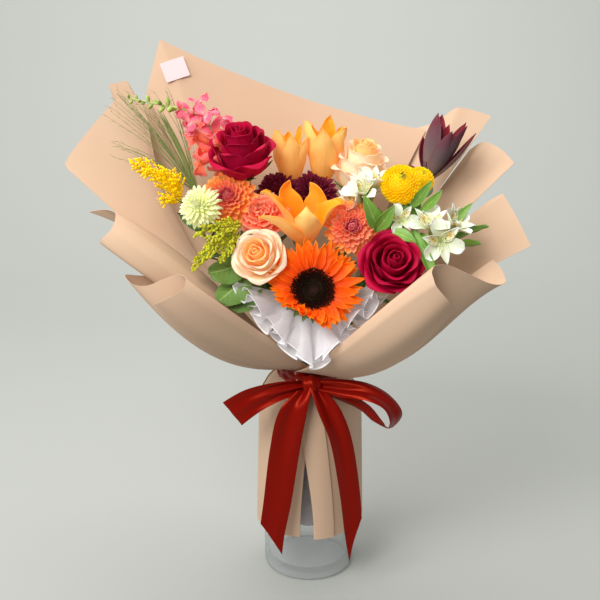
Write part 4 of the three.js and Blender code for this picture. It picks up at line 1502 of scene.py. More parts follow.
@dataclass
class Ruffle:
    """The organza collar: two gathered layers between a tight inner line and a longer outer one.

    Attributes:
        inner: Points of the gathered line.
        outer: Points of the free edge.
        layers: Height, phase of the gathers and reach towards the free edge of each layer.
        waves: Number of gathers.
        depth: Height of the gathers at the free edge.
        overhang: How far the gathers bulge over each other, as a share of the length.
        flat: Size of the cloth before it was gathered, in metres; not used.
    """

    inner: tuple = ((-40, -66, 374), (-24, -78, 358), (0, -84, 350), (26, -78, 358), (42, -60, 368))
    outer: tuple = ((-80, -90, 392), (-60, -100, 362), (-34, -108, 328), (3, -111, 304), (32, -109, 326),
                    (58, -104, 356), (83, -80, 386))
    layers: tuple = ((-3.0, 0.0, 1.0), (4.0, 2.0, 0.84))
    waves: float = 6.0
    depth: float = 10.5
    overhang: float = 0.03
    flat: tuple[float, float] = (0.045, 0.52)
    thickness: float = 0.25

    def layer(self, lift: float, phase: float, reach: float) -> Surface:
        """The surface of one layer of cloth, from its height, its phase and its reach."""

        def surface(u: Array, v: Array) -> Array:
            """The middle of the cloth."""
            swing = ROUND * self.waves * u + phase
            along = np.clip(u - self.overhang * v * np.sin(swing * 2.0), 0.0, 1.0)
            start, end = spline(self.inner, along), spline(self.outer, along)
            edge = reach * (1.0 + 0.05 * np.sin(swing * 0.37))
            place = mix(start, end, (v * edge)[:, None])
            ahead, back = np.minimum(along + 0.01, 1.0), np.maximum(along - 0.01, 0.0)
            turn = spline(self.outer, ahead) - spline(self.outer, back)
            normal = unit(np.cross(turn, unit(end - start)))
            height = lift + self.depth * v**0.8 * np.sin(swing)
            return place + normal * height[:, None]

        return surface

    def build(self) -> Object:
        """Makes the collar."""
        work = Patchwork()
        for layer in self.layers:
            work.add(shaped(self.layer(*layer), 300, 14, self.thickness), Finishes.ORGANZA)
        made = work.piece("organza_collar", "organza_ruffle")
        return made


# Stems


@dataclass
class Stem(Grown):
    """A stem from its cut foot through its place in the tie to the back of a head.

    Attributes:
        slot: Column and row of its place in the hexagonal bundle at the tie.
        back: Where it ends.
        facing: Direction it ends in.
        bend: Length of its straight end.
        heads: For a forked stem the end and direction of each branch.
        leaves: Leaves that grow on it where they are seen.
        foliage: Number of further leaves along its upper part.
    """

    slot: tuple[float, float]
    back: Point
    facing: Point = (0.0, 0.0, 1.0)
    radius: float = 2.0
    bend: float = 14.0
    heads: Sequence[tuple[Point, Point]] = ()
    leaves: Sequence[Blade] = ()
    finish: Finish = Finishes.STEM
    foliage: int = 6

    ending = "stalk"
    pitch = 8.6
    foot = 86.0

    def line(self) -> list[Array]:
        """The points of its main run."""
        column, row = self.slot
        top = floats((column * self.pitch, row * self.pitch * math.sqrt(3) / 2, Tie.top))
        end = floats(self.back)
        before = end - unit(floats(self.facing)) * self.bend
        foot = floats((top[0], top[1], self.foot))
        return [foot, (foot + top) / 2, top, (top + before) / 2, before, end]

    def branch(self, back: Point, facing: Point) -> list[Array]:
        """The points of a branch that ends at a point, in a direction."""
        start = floats(self.back) - (0.0, 0.0, 4.0)
        end = floats(back)
        before = end - unit(floats(facing)) * 10.0
        return [start, (start + before) / 2, before, end]

    def grow(self, work: Patchwork, dice: Dice) -> None:
        """Adds its run, its branches and its leaves."""
        work.add(swept(self.line(), (self.radius, self.radius * 0.92), 10, 28), self.finish)
        thin = self.radius * 0.7
        for back, facing in self.heads:
            work.add(swept(self.branch(back, facing), (thin * 1.15, thin), 8, 12), self.finish, tone=0.7)
        for leaf in self.leaves:
            work.add(leaf.shape(), Finishes.BRIGHT_LEAF)
        self.add_foliage(work, dice)

    def add_foliage(self, work: Patchwork, dice: Dice) -> None:
        """Adds leaves that turn round its upper part."""
        line = self.line()
        tie_share = chord_marks(floats(line))[2]
        for k in range(self.foliage):
            share = mix(tie_share, 1.0, mix(0.42, 0.94, (k + 0.5) / self.foliage))
            here, ahead = spline(line, (share, share + 0.01))
            leaf = Blade(arc(dice.uniform(26.0, 36.0), 64.0, -34.0), width=dice.uniform(13.0, 19.0), cup=0.15,
                         fold=0.15, ruffle=0.8, outline=Outline.TEPAL, rows=8)
            place = placing(here, ahead - here) @ around(math.degrees(k * GOLDEN_ANGLE), self.radius)
            work.add(leaf.shape(), Finishes.LEAF, place, dice.random())


# Flower heads


@dataclass
class Head(Grown):
    """A flower head, open towards its facing side.

    Attributes:
        middle: Its middle.
        facing: Direction it opens to.
        depth: Its depth from the foot of the petals to its crown.
        roll: Turn about its axis, in degrees.
        seed: Seed of its small differences.
    """

    middle: Point
    facing: Point
    radius: float
    depth: float
    roll: float = 0.0
    seed: int = 1

    def fill(self, work: Patchwork, dice: Dice, matrix: Array) -> None:
        """Adds the petals, placed by a matrix."""
        raise NotImplementedError

    def calyx(self, work: Patchwork, matrix: Array, sepals: int = 5, size: float = 0.75) -> None:
        """Adds the green cup behind the petals and its sepals.

        Args:
            work: Where they go.
            matrix: Place of the head.
            sepals: Number of sepals.
            size: Length of a sepal, as a share of the radius.
        """
        foot = -0.44 * self.depth
        cup = scaling(self.radius * 0.6, self.radius * 0.6, self.depth * 0.28)
        work.add(bead(3), Finishes.ROSE_LEAF, matrix @ translation((0.0, 0.0, foot)) @ cup, 0.2)
        sepal = Blade(arc(self.radius * size, 10.0, 30.0), width=self.radius * 0.24,
                      outline=Outline.LANCE, cup=-0.2, columns=4, rows=8).shape()
        for k in range(sepals):
            place = around(k * 360.0 / sepals, self.radius * 0.2, foot, 2.0)
            work.add(sepal, Finishes.ROSE_LEAF, matrix @ place, 0.3)

    def grow(self, work: Patchwork, dice: Dice) -> None:
        """Adds the head in its place."""
        self.fill(work, dice, placing(self.middle, self.facing, self.roll))


@dataclass(frozen=True)
class Whorl:
    """A ring of rose petals.

    Attributes:
        count: Number of petals.
        span: Half the angle that a petal reaches round, in degrees.
        profile: Radius and height of its middle line, as shares of the rose's radius and depth.
        curl: How far its side corners roll back.
        point: How pointed its rim is.
    """

    count: int
    span: float
    profile: tuple[tuple[float, float], ...]
    curl: float = 0.0
    point: float = 0.0


@dataclass
class Rose(Head):
    """A rose: a swirled heart in rings of broad petals, the outer ones rolled back.

    Attributes:
        heart: Finish of the inner petals.
        skirt: Finish of the outer petals.
        whorls: Its rings of petals, from the heart outwards.
    """

    heart: Finish = Finishes.CRIMSON
    skirt: Finish = Finishes.CRIMSON
    whorls: tuple[Whorl, ...] = (
        Whorl(3, 118.0, ((0.02, -0.4), (0.1, -0.1), (0.12, 0.2), (0.07, 0.5))),
        Whorl(3, 96.0, ((0.03, -0.4), (0.2, -0.15), (0.23, 0.2), (0.19, 0.44), (0.21, 0.49)), 0.1),
        Whorl(4, 74.0, ((0.04, -0.42), (0.32, -0.2), (0.37, 0.16), (0.35, 0.4), (0.42, 0.46)), 0.4),
        Whorl(4, 66.0, ((0.06, -0.43), (0.44, -0.24), (0.52, 0.1), (0.54, 0.33), (0.64, 0.37)), 0.7, 0.3),
        Whorl(5, 56.0, ((0.08, -0.44), (0.56, -0.27), (0.67, 0.02), (0.74, 0.22), (0.86, 0.22)), 1.0, 0.7),
        Whorl(5, 52.0, ((0.1, -0.45), (0.6, -0.32), (0.78, -0.1), (0.93, 0.04), (1.06, -0.02)), 1.2, 1.0),
    )

    heart_whorls = 3

    def petal(self, whorl: Whorl, turn: float, size: float, phase: float) -> Shape:
        """One petal.

        Args:
            whorl: The ring that it belongs to.
            turn: Its direction in the ring, in radians.
            size: Its size beside the others.
            phase: Start of the wave in its rim.

        Returns:
            The petal, wrapped round the axis of the rose.
        """
        scale = self.radius * size
        profile = [(0.0, radius * scale, height * self.depth) for radius, height in whorl.profile]
        span = math.radians(whorl.span)

        def surface(u: Array, v: Array) -> Array:
            """The middle of the petal."""
            s = 2.0 * u - 1.0
            off = np.abs(s)
            w = v * (1.0 - 0.16 * off**2.4 - 0.1 * whorl.point * (1.0 - (1.0 - off) ** 1.5))
            middle = spline(profile, w)
            angle = turn + s * span * (0.35 + 0.65 * np.sin(np.clip(w / 0.6, 0.0, 1.0) * math.pi / 2))
            rim = eased((w - 0.55) / 0.45)
            roll = whorl.curl * rim * off**3
            wave = 0.018 * self.radius * np.sin(5.0 * s + phase) * rim
            radius = middle[:, 1] * (1.0 + 0.07 * s) + 0.07 * self.radius * roll + wave
            height = middle[:, 2] - 0.1 * self.depth * roll - wave
            return np.stack([radius * np.cos(angle), radius * np.sin(angle), height], axis=1)

        return shaped(surface, 16, 16, 0.5)

    def fill(self, work: Patchwork, dice: Dice, matrix: Array) -> None:
        """Adds the petals, the calyx and its sepals."""
        for ring, whorl in enumerate(self.whorls):
            for k in range(whorl.count):
                turn = ROUND * k / whorl.count + ring * 1.05 + dice.normal(0.0, 0.1)
                size, phase = dice.uniform(0.94, 1.05), dice.uniform(0.0, 6.0)
                finish = self.heart if ring < self.heart_whorls else self.skirt
                work.add(self.petal(whorl, turn, size, phase), finish, matrix, dice.random())
        self.calyx(work, matrix)


@dataclass
class FullHead(Head):
    """A head packed with petals in spirals, from an upright heart to a spread rim.

    Attributes:
        lengths: Length of the inner and the outer petals, as shares of the radius.
        widths: Width of the inner and the outer petals.
        lifts: Tilt of the inner and the outer petals, in degrees.
        bends: Bend of the inner and the outer petals towards the heart, in degrees.
        spread: How fast the petals open from the heart outwards.
        outline, cup, ruffle, notch, columns: As in Blade.
        finishes: Finishes from the heart outwards.
        kinds: Number of petal shapes that are shared.
        bloom: Scale of the petals.
    """

    petals: int = 90
    lengths: tuple[float, float] = (0.35, 0.75)
    widths: tuple[float, float] = (4.0, 7.0)
    lifts: tuple[float, float] = (86.0, 4.0)
    bends: tuple[float, float] = (40.0, -15.0)
    spread: float = 0.8
    outline: Outline = Outline.OVAL
    cup: float = 0.45
    ruffle: float = 0.0
    notch: float = 0.0
    columns: int = 6
    finishes: tuple[Finish, ...] = (Finishes.DAHLIA,)
    kinds: int = 6
    bloom: float = 1.14

    def petal(self, t: float) -> Shape:
        """A petal; t is 0 at the heart and 1 at the rim."""
        line = arc(self.radius * mix(*self.lengths, t), 0.0, mix(*self.bends, t))
        return Blade(line, width=mix(*self.widths, t), outline=self.outline, cup=self.cup, phase=4.0 * t,
                     ruffle=self.ruffle, notch=self.notch, columns=self.columns, rows=8).shape()

    def fill(self, work: Patchwork, dice: Dice, matrix: Array) -> None:
        """Adds the petals on a small cushion."""
        kinds = [self.petal((k + 0.5) / self.kinds) for k in range(self.kinds)]
        cushion = scaling(self.radius * 0.75, self.radius * 0.75, self.depth * 0.5)
        base = translation((0.0, 0.0, -0.15 * self.depth))
        work.add(bead(3), self.finishes[0], matrix @ base @ cushion, 0.1)
        for k in range(self.petals):
            t = (k + 0.5) / self.petals
            foot = self.radius * 0.33 * math.sqrt(t)
            height = self.depth * (0.08 - 0.38 * t**1.5)
            lift = mix(*self.lifts, t**self.spread) + dice.normal(0.0, 4.0)
            place = around(math.degrees(k * GOLDEN_ANGLE), foot, height, lift, dice.normal(0.0, 9.0))
            size = dice.uniform(0.9, 1.1) * self.bloom
            finish = self.finishes[int(t * len(self.finishes))]
            kind = kinds[int(t * self.kinds)]
            work.add(kind, finish, matrix @ place @ scaling(size, size, size), dice.random())
        self.calyx(work, matrix, 8, 0.5)


@dataclass
class Pompon(Head):
    """A tight round head of tiny cupped florets, greenish in its dimple."""

    florets: int = 300

    dimple = 0.28

    def fill(self, work: Patchwork, dice: Dice, matrix: Array) -> None:
        """Adds the florets over a core."""
        core = scaling(self.radius * 1.7, self.radius * 1.7, self.depth * 0.8)
        work.add(bead(3), Finishes.YELLOW, matrix @ core, 0.0)
        size = self.radius * 0.16
        floret = Blade(arc(size * 1.6, 0.0, 70.0), width=size * 1.5, outline=Outline.SPOON, cup=0.7,
                       columns=4, rows=4, thickness=0.4).shape()
        for k in range(self.florets):
            t = (k + 0.5) / self.florets
            polar = math.acos(1.0 - 1.65 * t)
            reach = self.radius * (0.9 - 0.16 * math.exp(-(polar / 0.3) ** 2)) * dice.uniform(0.97, 1.03)
            height = math.cos(polar) * self.depth * 0.46 * reach / (self.radius * 0.9)
            lift = 90.0 - math.degrees(polar) - 25.0
            ring = around(math.degrees(k * GOLDEN_ANGLE), math.sin(polar) * reach, height, lift)
            finish = Finishes.OLIVE if polar < self.dimple else Finishes.YELLOW
            work.add(floret, finish, matrix @ ring, dice.random())
        self.calyx(work, matrix, 8, 0.4)


@dataclass
class Rays(Head):
    """The ray petals of a sunflower, in three rows, curled forward towards the lower left.

    Attributes:
        count: Number of petals in a row.
        foot: Distance of their feet from the middle.
    """

    count: int = 23
    foot: float = 18.0

    rows = 3
    curled_side = 245.0
    bracts = 20

    def fill(self, work: Patchwork, dice: Dice, matrix: Array) -> None:
        """Adds the rows, and the green bracts behind them."""
        for row in range(self.rows):
            for k in range(self.count):
                angle = (k + row / self.rows) * 360.0 / self.count + dice.normal(0.0, 2.5)
                low = (0.5 + 0.5 * math.cos(math.radians(angle - self.curled_side))) ** 1.5
                start = mix(14.0 - 6.0 * row, 42.0, low**2) + dice.normal(0.0, 6.0)
                length = self.radius * dice.uniform(0.6, 0.78) * mix(1.1, 0.74, low)
                line = arc(length, start, mix(-24.0, 60.0, low**3) + dice.normal(0.0, 16.0))
                ray = Blade(line, width=dice.uniform(9.5, 13.0), outline=Outline.LANCE, cup=0.22,
                            fold=dice.uniform(-0.1, 0.3), ruffle=1.3, phase=dice.uniform(0.0, 6.0),
                            twist=dice.normal(0.0, 20.0), columns=6, rows=12)
                ring = around(angle, self.foot, 1.0 - 2.2 * row)
                work.add(ray.shape(), Finishes.SUNFLOWER, matrix @ ring, dice.random())
        self.add_bracts(work, matrix)

    def add_bracts(self, work: Patchwork, matrix: Array) -> None:
        """Adds the green dish behind the petals and its pointed bracts."""
        dish = translation((0.0, 0.0, -7.0)) @ scaling(44.0, 44.0, 8.0)
        work.add(bead(3), Finishes.ROSE_LEAF, matrix @ dish, 0.2)
        bract = Blade(arc(20.0, -8.0, 25.0), width=8.0, outline=Outline.LANCE, cup=0.2).shape()
        for k in range(self.bracts):
            ring = around(k * 360.0 / self.bracts, 16.0, -8.5, -4.0)
            work.add(bract, Finishes.ROSE_LEAF, matrix @ ring, 0.4)


@dataclass
class SeedDisc(Head):
    """The dark disc of a sunflower, set with tiny tube flowers."""

    florets: int = 520

    def fill(self, work: Patchwork, dice: Dice, matrix: Array) -> None:
        """Adds the dome and its florets."""
        dome = translation((0.0, 0.0, -1.0)) @ scaling(self.radius * 1.9, self.radius * 1.9, 11.0)
        work.add(bead(4), Finishes.SEEDS, matrix @ dome, 0.2)
        spike = Blade(arc(3.6, 0.0, 20.0), width=1.5, outline=Outline.DROP, columns=3, rows=3).shape()
        for k in range(self.florets):
            share = math.sqrt((k + 0.5) / self.florets)
            height = 4.2 - 3.4 * share**3 - 1.6 * math.exp(-(share / 0.25) ** 2)
            lift = mix(86.0, 48.0, share**2) + dice.normal(0.0, 9.0)
            ring = around(math.degrees(k * GOLDEN_ANGLE), self.radius * 0.93 * share, height, lift)
            size = mix(0.6, 1.5, share) * dice.uniform(0.8, 1.15)
            work.add(spike, Finishes.SEEDS, matrix @ ring @ scaling(size, size, size), share)


# Lilies and sprays


def two_faced(work: Patchwork, blade: Blade, inside: Finish, outside: Finish, tone: float) -> None:
    """Adds a petal whose upper and lower side differ in colour."""
    for offset, finish in ((0.22, inside), (-0.22, outside)):
        work.add(replace(blade, offset=offset, thickness=0.44).shape(), finish, tone=tone)


@dataclass
class Lily(Grown):
    """A lily bloom, each tepal drawn from the foot through a point on its middle to its tip.

    Attributes:
        base: Foot of the bloom.
        tepals: For each tepal a point on its middle and its tip.
        heart: Direction in which the bloom opens.
        width: Width of a tepal.
        cup: How hollow the tepals are.
        stamens: Number of stamens that are seen.
    """

    base: Point
    tepals: Sequence[tuple[Point, Point]]
    heart: Point
    width: float = 32.0
    cup: float = 0.35
    stamens: int = 6

    def tepal(self, middle: Point, tip: Point, phase: float) -> Blade:
        """A tepal, with its upper side towards the middle of the bloom.

        Args:
            middle: A point on its middle.
            tip: Its tip.
            phase: Start of the waves in its edges.

        Returns:
            The tepal.
        """
        base, half, end = floats(self.base), floats(middle), floats(tip)
        axis = unit(floats(self.heart))
        foot = base + unit(half - base - axis * ((half - base) @ axis)) * 2.0
        inward = base + axis * ((half - base) @ axis) - half
        throat = mix(foot, half, 0.5) - unit(inward) * 1.5
        late = mix(half, end, 0.55) + (half - mix(foot, end, 0.5)) * 0.35
        return Blade((foot, throat, half, late, end), np.cross(end - foot, inward), self.width, Outline.TEPAL,
                     self.cup, fold=0.12, ruffle=1.8, phase=phase, columns=12, rows=24)

    def grow(self, work: Patchwork, dice: Dice) -> None:
        """Adds the tepals, the stamens and the foot."""
        for middle, tip in self.tepals:
            blade = self.tepal(middle, tip, dice.uniform(0.0, 6.0))
            two_faced(work, blade, Finishes.LILY, Finishes.LILY_BACK, dice.random())
        self.add_stamens(work, dice)
        work.add(bead(3), Finishes.BUD, translation(self.base) @ scaling(7.0, 7.0, 9.0), 0.5)

    def add_stamens(self, work: Patchwork, dice: Dice) -> None:
        """Adds filaments with anthers."""
        matrix = placing(self.base, self.heart)
        for k in range(self.stamens):
            ring = around(k * 360.0 / self.stamens + dice.normal(0.0, 6.0), 2.0, 4.0, 80.0)
            line = arc(19.0 + dice.normal(0.0, 2.0), 0.0, -12.0)
            work.add(swept(line, (0.6, 0.45), 6, 8), Finishes.LILY, matrix @ ring)
            anther = ring @ translation(line[-1]) @ scaling(1.8, 1.8, 6.5)
            work.add(bead(2), Finishes.ANTHER, matrix @ anther, dice.random())


@dataclass
class Spider:
    """One small bloom of six white tepals, the two upper inner ones marked.

    Attributes:
        place: Its throat.
        facing: Direction it opens to.
        size: Length of its tepals.
        roll: Turn about its axis, in degrees.
        spread: How far it has opened, from 0 to 1.
    """

    place: Point
    facing: Point
    size: float
    roll: float = 0.0
    spread: float = 1.0

    def add_to(self, work: Patchwork, dice: Dice) -> None:
        """Adds the bloom to a piece."""
        matrix = placing(self.place, self.facing, self.roll)
        for k in range(6):
            inner = k % 2
            lift = mix(82.0, 42.0 if inner else 30.0, self.spread) + dice.normal(0.0, 6.0)
            line = arc(self.size, lift, mix(-12.0, -34.0, self.spread) + dice.normal(0.0, 10.0))
            outline = Outline.LANCE if inner else Outline.SPOON
            width = self.size * (0.42 if inner else 0.62) * dice.uniform(0.9, 1.05)
            blade = Blade(line, width=width, outline=outline, cup=0.3, fold=0.15, ruffle=0.5,
                          phase=dice.uniform(0.0, 6.0), columns=8, rows=12)
            finish = Finishes.WHITE_MARKED if inner and k != 3 else Finishes.WHITE
            ring = around(90.0 + k * 60.0, 0.6 + 0.5 * (1 - inner), 0.3 * inner)
            work.add(blade.shape(), finish, matrix @ ring, dice.random())
        for k in range(6):
            line = arc(self.size * 0.6, 68.0 + dice.normal(0.0, 8.0), 10.0)
            ring = around(k * 60.0 + 15.0)
            work.add(swept(line, (0.35, 0.3), 5, 5), Finishes.WHITE, matrix @ ring)
            tip = ring @ translation(line[-1]) @ scaling(1.3, 1.3, 2.2)
            work.add(bead(1), Finishes.GOLD, matrix @ tip, 0.4)
        tube = translation((0.0, 0.0, -4.0)) @ scaling(5.0, 5.0, 13.0)
        work.add(bead(2), Finishes.BUD, matrix @ tube, 0.8)


@dataclass
class SpiderCluster(Grown):
    """The small white blooms of one branch."""

    blooms: Sequence[Spider]
    seed: int = 14

    ending = "blooms"

    def grow(self, work: Patchwork, dice: Dice) -> None:
        """Adds the blooms."""
        for bloom in self.blooms:
            bloom.add_to(work, dice)


# Spikes, plumes and leaves


@dataclass
class BractCone(Grown):
    """A loose cone of long pointed bracts, grey outside and dark red towards the heart.

    Attributes:
        base: Foot of the cone.
        tips: Tips of its outer bracts.
        heart: Tip of its innermost bract.
    """

    base: Point
    tips: Sequence[Point]
    heart: Point

    ending = "bracts"
    seed = 5

    def grow(self, work: Patchwork, dice: Dice) -> None:
        """Adds the outer bracts as seen, and shorter ones between them."""
        base, heart = floats(self.base), floats(self.heart)
        for k, tip in enumerate(self.tips):
            end = floats(tip)
            self.add_bract(work, end, 22.0, dice)
            following = floats(self.tips[(k + 1) % len(self.tips)])
            between = mix(mix(end, following, 0.5), heart, 0.35) + dice.normal(0.0, 3.0, 3)
            self.add_bract(work, mix(base, between, dice.uniform(0.72, 0.95)), 18.0, dice)

    def add_bract(self, work: Patchwork, end: Array, width: float, dice: Dice) -> None:
        """Adds one bract, hollow towards the heart.

        Args:
            work: Where it goes.
            end: Its tip.
            width: Its width.
            dice: Gives its small differences.
        """
        base = floats(self.base)
        axis = unit(floats(self.heart) - base)
        outward = end - base - axis * ((end - base) @ axis)
        foot = base + unit(outward + 1e-3) * 3.0 + axis * dice.uniform(0.0, 8.0)
        inward = axis * 8.0 - unit(outward) * 14.0
        bract = bowed(foot, end, dice.uniform(3.0, 6.0), inward, width,
                      outline=Outline.TEPAL, cup=0.3, fold=0.12, columns=6, rows=14)
        two_faced(work, bract, Finishes.DARK, Finishes.DARK_BACK, dice.random())


@dataclass
class Spike(Grown):
    """A flower spike with green buds at its tip, pink ones below and open two-lipped blooms.

    Attributes:
        line: Its axis, from the lowest bloom to the tip.
    """

    line: Sequence[Point]

    ending = "spike"
    seed = 8
    flowers = 38
    blooms_to, pink_to, coral_to = 0.55, 0.66, 0.3
    lobes = (-62.0, -20.0, 20.0, 62.0)

    def grow(self, work: Patchwork, dice: Dice) -> None:
        """Adds the axis and what grows on it."""
        work.add(swept(self.line, (1.7, 1.3, 0.8), 8, 24), Finishes.BUD, tone=0.4)
        for k in range(self.flowers):
            t = k / (self.flowers - 1)
            place, ahead = spline(self.line, (t * 0.985, min(t * 0.985 + 0.02, 1.0)))
            matrix = placing(place, ahead - place)
            turn = math.degrees(k * GOLDEN_ANGLE)
            if t > self.blooms_to:
                self.add_bud(work, matrix @ around(turn, 1.2, 0.0, 28.0), t, dice)
            else:
                self.add_bloom(work, matrix @ around(turn, 1.0, 0.0, 30.0), t, dice)

    def add_bud(self, work: Patchwork, matrix: Array, t: float, dice: Dice) -> None:
        """Adds the bud at a share of the way up."""
        size = mix(11.0, 4.5, (t - self.blooms_to) / 0.45)
        finish = Finishes.BUD if t > self.pink_to else Finishes.PINK
        bud = translation((0, size * 0.5, 0)) @ scaling(size * 0.66, size * 1.2, size * 0.66)
        work.add(bead(2), finish, matrix @ bud, dice.random())

    def add_bloom(self, work: Patchwork, matrix: Array, t: float, dice: Dice) -> None:
        """Adds the two-lipped bloom at a share of the way up."""
        finish = Finishes.SNAP_CORAL if t < self.coral_to else Finishes.PINK
        size = mix(27.0, 18.0, t / self.blooms_to)
        tube = translation((0, size * 0.4, 0)) @ scaling(size * 0.5, size, size * 0.5)
        work.add(bead(2), finish, matrix @ tube, dice.random())
        for lobe in self.lobes:
            upper = abs(lobe) < 40.0
            petal = Blade(arc(size * 0.72, 40.0 if upper else -30.0, 60.0 if upper else -70.0),
                          width=size * 0.66, outline=Outline.FAN, cup=0.3, ruffle=1.3, waves=2.0,
                          phase=dice.uniform(0.0, 6.0), columns=8, rows=8)
            lip = translation((0, size * 0.72, 0)) @ rotation("z", -lobe * 0.6)
            work.add(petal.shape(), finish, matrix @ lip, dice.random())


@dataclass
class Plume(Grown):
    """A plume of tiny florets on branchlets that arch away from its axis.

    Attributes:
        branches: The middle lines of its branches.
        finish: What its florets are made of.
        spread: Length of its branchlets.
        floret: Size of a floret.
        density: Branchlets per millimetre of branch.
    """

    branches: Sequence[Sequence[Point]]
    finish: Finish
    spread: float = 10.0
    floret: float = 2.3
    density: float = 0.55
    seed: int = 3

    ending = "plume"

    def grow(self, work: Patchwork, dice: Dice) -> None:
        """Adds the branches."""
        for branch in self.branches:
            length = np.linalg.norm(np.diff(floats(branch), axis=0), axis=1).sum()
            work.add(swept(branch, (0.9, 0.5), 6, 14), Finishes.BUD, tone=0.3)
            count = int(length * self.density)
            for k in range(count):
                self.add_branchlet(work, branch, (k + 0.5) / count, dice)

    def add_branchlet(self, work: Patchwork, branch: Sequence[Point], t: float, dice: Dice) -> None:
        """Adds a branchlet with its florets.

        Args:
            work: Where they go.
            branch: The line of the branch that it grows on.
            t: Its place along that branch, from 0 to 1.
            dice: Gives its small differences.
        """
        here, ahead = spline(branch, (t, min(t + 0.02, 1.0)))
        matrix = placing(here, ahead - here + 1e-6)
        taper = math.sin(math.pi * min(0.15 + 0.85 * t, 0.96)) ** 0.6
        reach = self.spread * taper * dice.uniform(0.7, 1.1)
        line = arc(reach, 35.0, 35.0, 4)
        ring = around(dice.uniform(0.0, 360.0))
        work.add(swept(line, (0.35, 0.25), 4, 3), Finishes.BUD, matrix @ ring, 0.5)
        count = max(int(reach / self.floret * 1.9), 2)
        for k in range(count):
            point = spline(line, [(k + 1) / count])[0] + dice.normal(0.0, 0.5, 3)
            size = self.floret * dice.uniform(0.7, 1.15)
            grown = ring @ translation(point) @ scaling(size * 0.85, size * 0.85, size * 1.15)
            work.add(bead(1), self.finish, matrix @ grown, dice.random())


@dataclass
class GrassTuft(Grown):
    """A tuft of fine grass blades with awns, and one thicker seed head.

    Attributes:
        base: Its foot.
        tips: Tips of its blades, each of which has a few others beside it.
        thick: Tip of the seed head.
    """

    base: Point
    tips: Sequence[Point]
    thick: Point

    ending = "blades"
    seed = 4
    bunch = 5
    awns = 7

    def grow(self, work: Patchwork, dice: Dice) -> None:
        """Adds the blades and the seed head."""
        base = floats(self.base)
        for tip in self.tips:
            for k in range(self.bunch):
                end = floats(tip) + dice.normal(0.0, 6.0, 3) * (k > 0)
                middle = mix(base, end, 0.55) + dice.normal(0.0, 2.0, 3) + (3.0, 0.0, 3.0)
                line = [base + dice.normal(0.0, 1.0, 3), middle, end]
                work.add(swept(line, (0.55, 0.35, 0.15), 5, 12), Finishes.GRASS, tone=dice.random())
                self.add_awns(work, line, dice)
        end = floats(self.thick)
        head = [base, mix(base, end, 0.5) + (2.0, 0.0, 1.0), end]
        for side in (-3.0, 0.0, 3.0):
            shift = floats((side / 2, 0.0, -side / 4))
            points = [point + shift * k for k, point in enumerate(head)]
            work.add(swept(points, (0.9, 1.9, 1.5, 0.3), 7, 16), Finishes.GRASS, tone=0.2 + 0.1 * side)

    def add_awns(self, work: Patchwork, line: Sequence[Array], dice: Dice) -> None:
        """Adds fine awns to the upper half of a blade."""
        for t in np.linspace(0.45, 0.98, self.awns):
            here, ahead = spline(line, (t, min(t + 0.02, 1.0)))
            awn = arc(dice.uniform(5.0, 9.0), 62.0, 10.0, 3)
            place = placing(here, ahead - here + 1e-6) @ around(dice.uniform(0.0, 360.0))
            work.add(swept(awn, (0.22, 0.1), 3, 2), Finishes.GRASS, place, dice.random())


@dataclass
class Leaf(Grown):
    """A leaf of one or more blades.

    Attributes:
        blades: For each blade its foot, its tip and its width.
        side: Direction across it.
    """

    blades: Sequence[tuple[Point, Point, float]]
    side: Point
    finish: Finish = Finishes.ROSE_LEAF

    ending = "blade"

    def grow(self, work: Patchwork, dice: Dice) -> None:
        """Adds the blades."""
        for k, (foot, tip, width) in enumerate(self.blades):
            upper = np.cross(floats(self.side), floats(tip) - floats(foot))
            blade = bowed(foot, tip, -3.5, upper, width, outline=Outline.OVAL, cup=0.18, fold=0.12,
                          ruffle=0.8, columns=10, rows=18)
            work.add(blade.shape(), self.finish, tone=0.4 + 0.2 * (k % 2))


# The bouquet


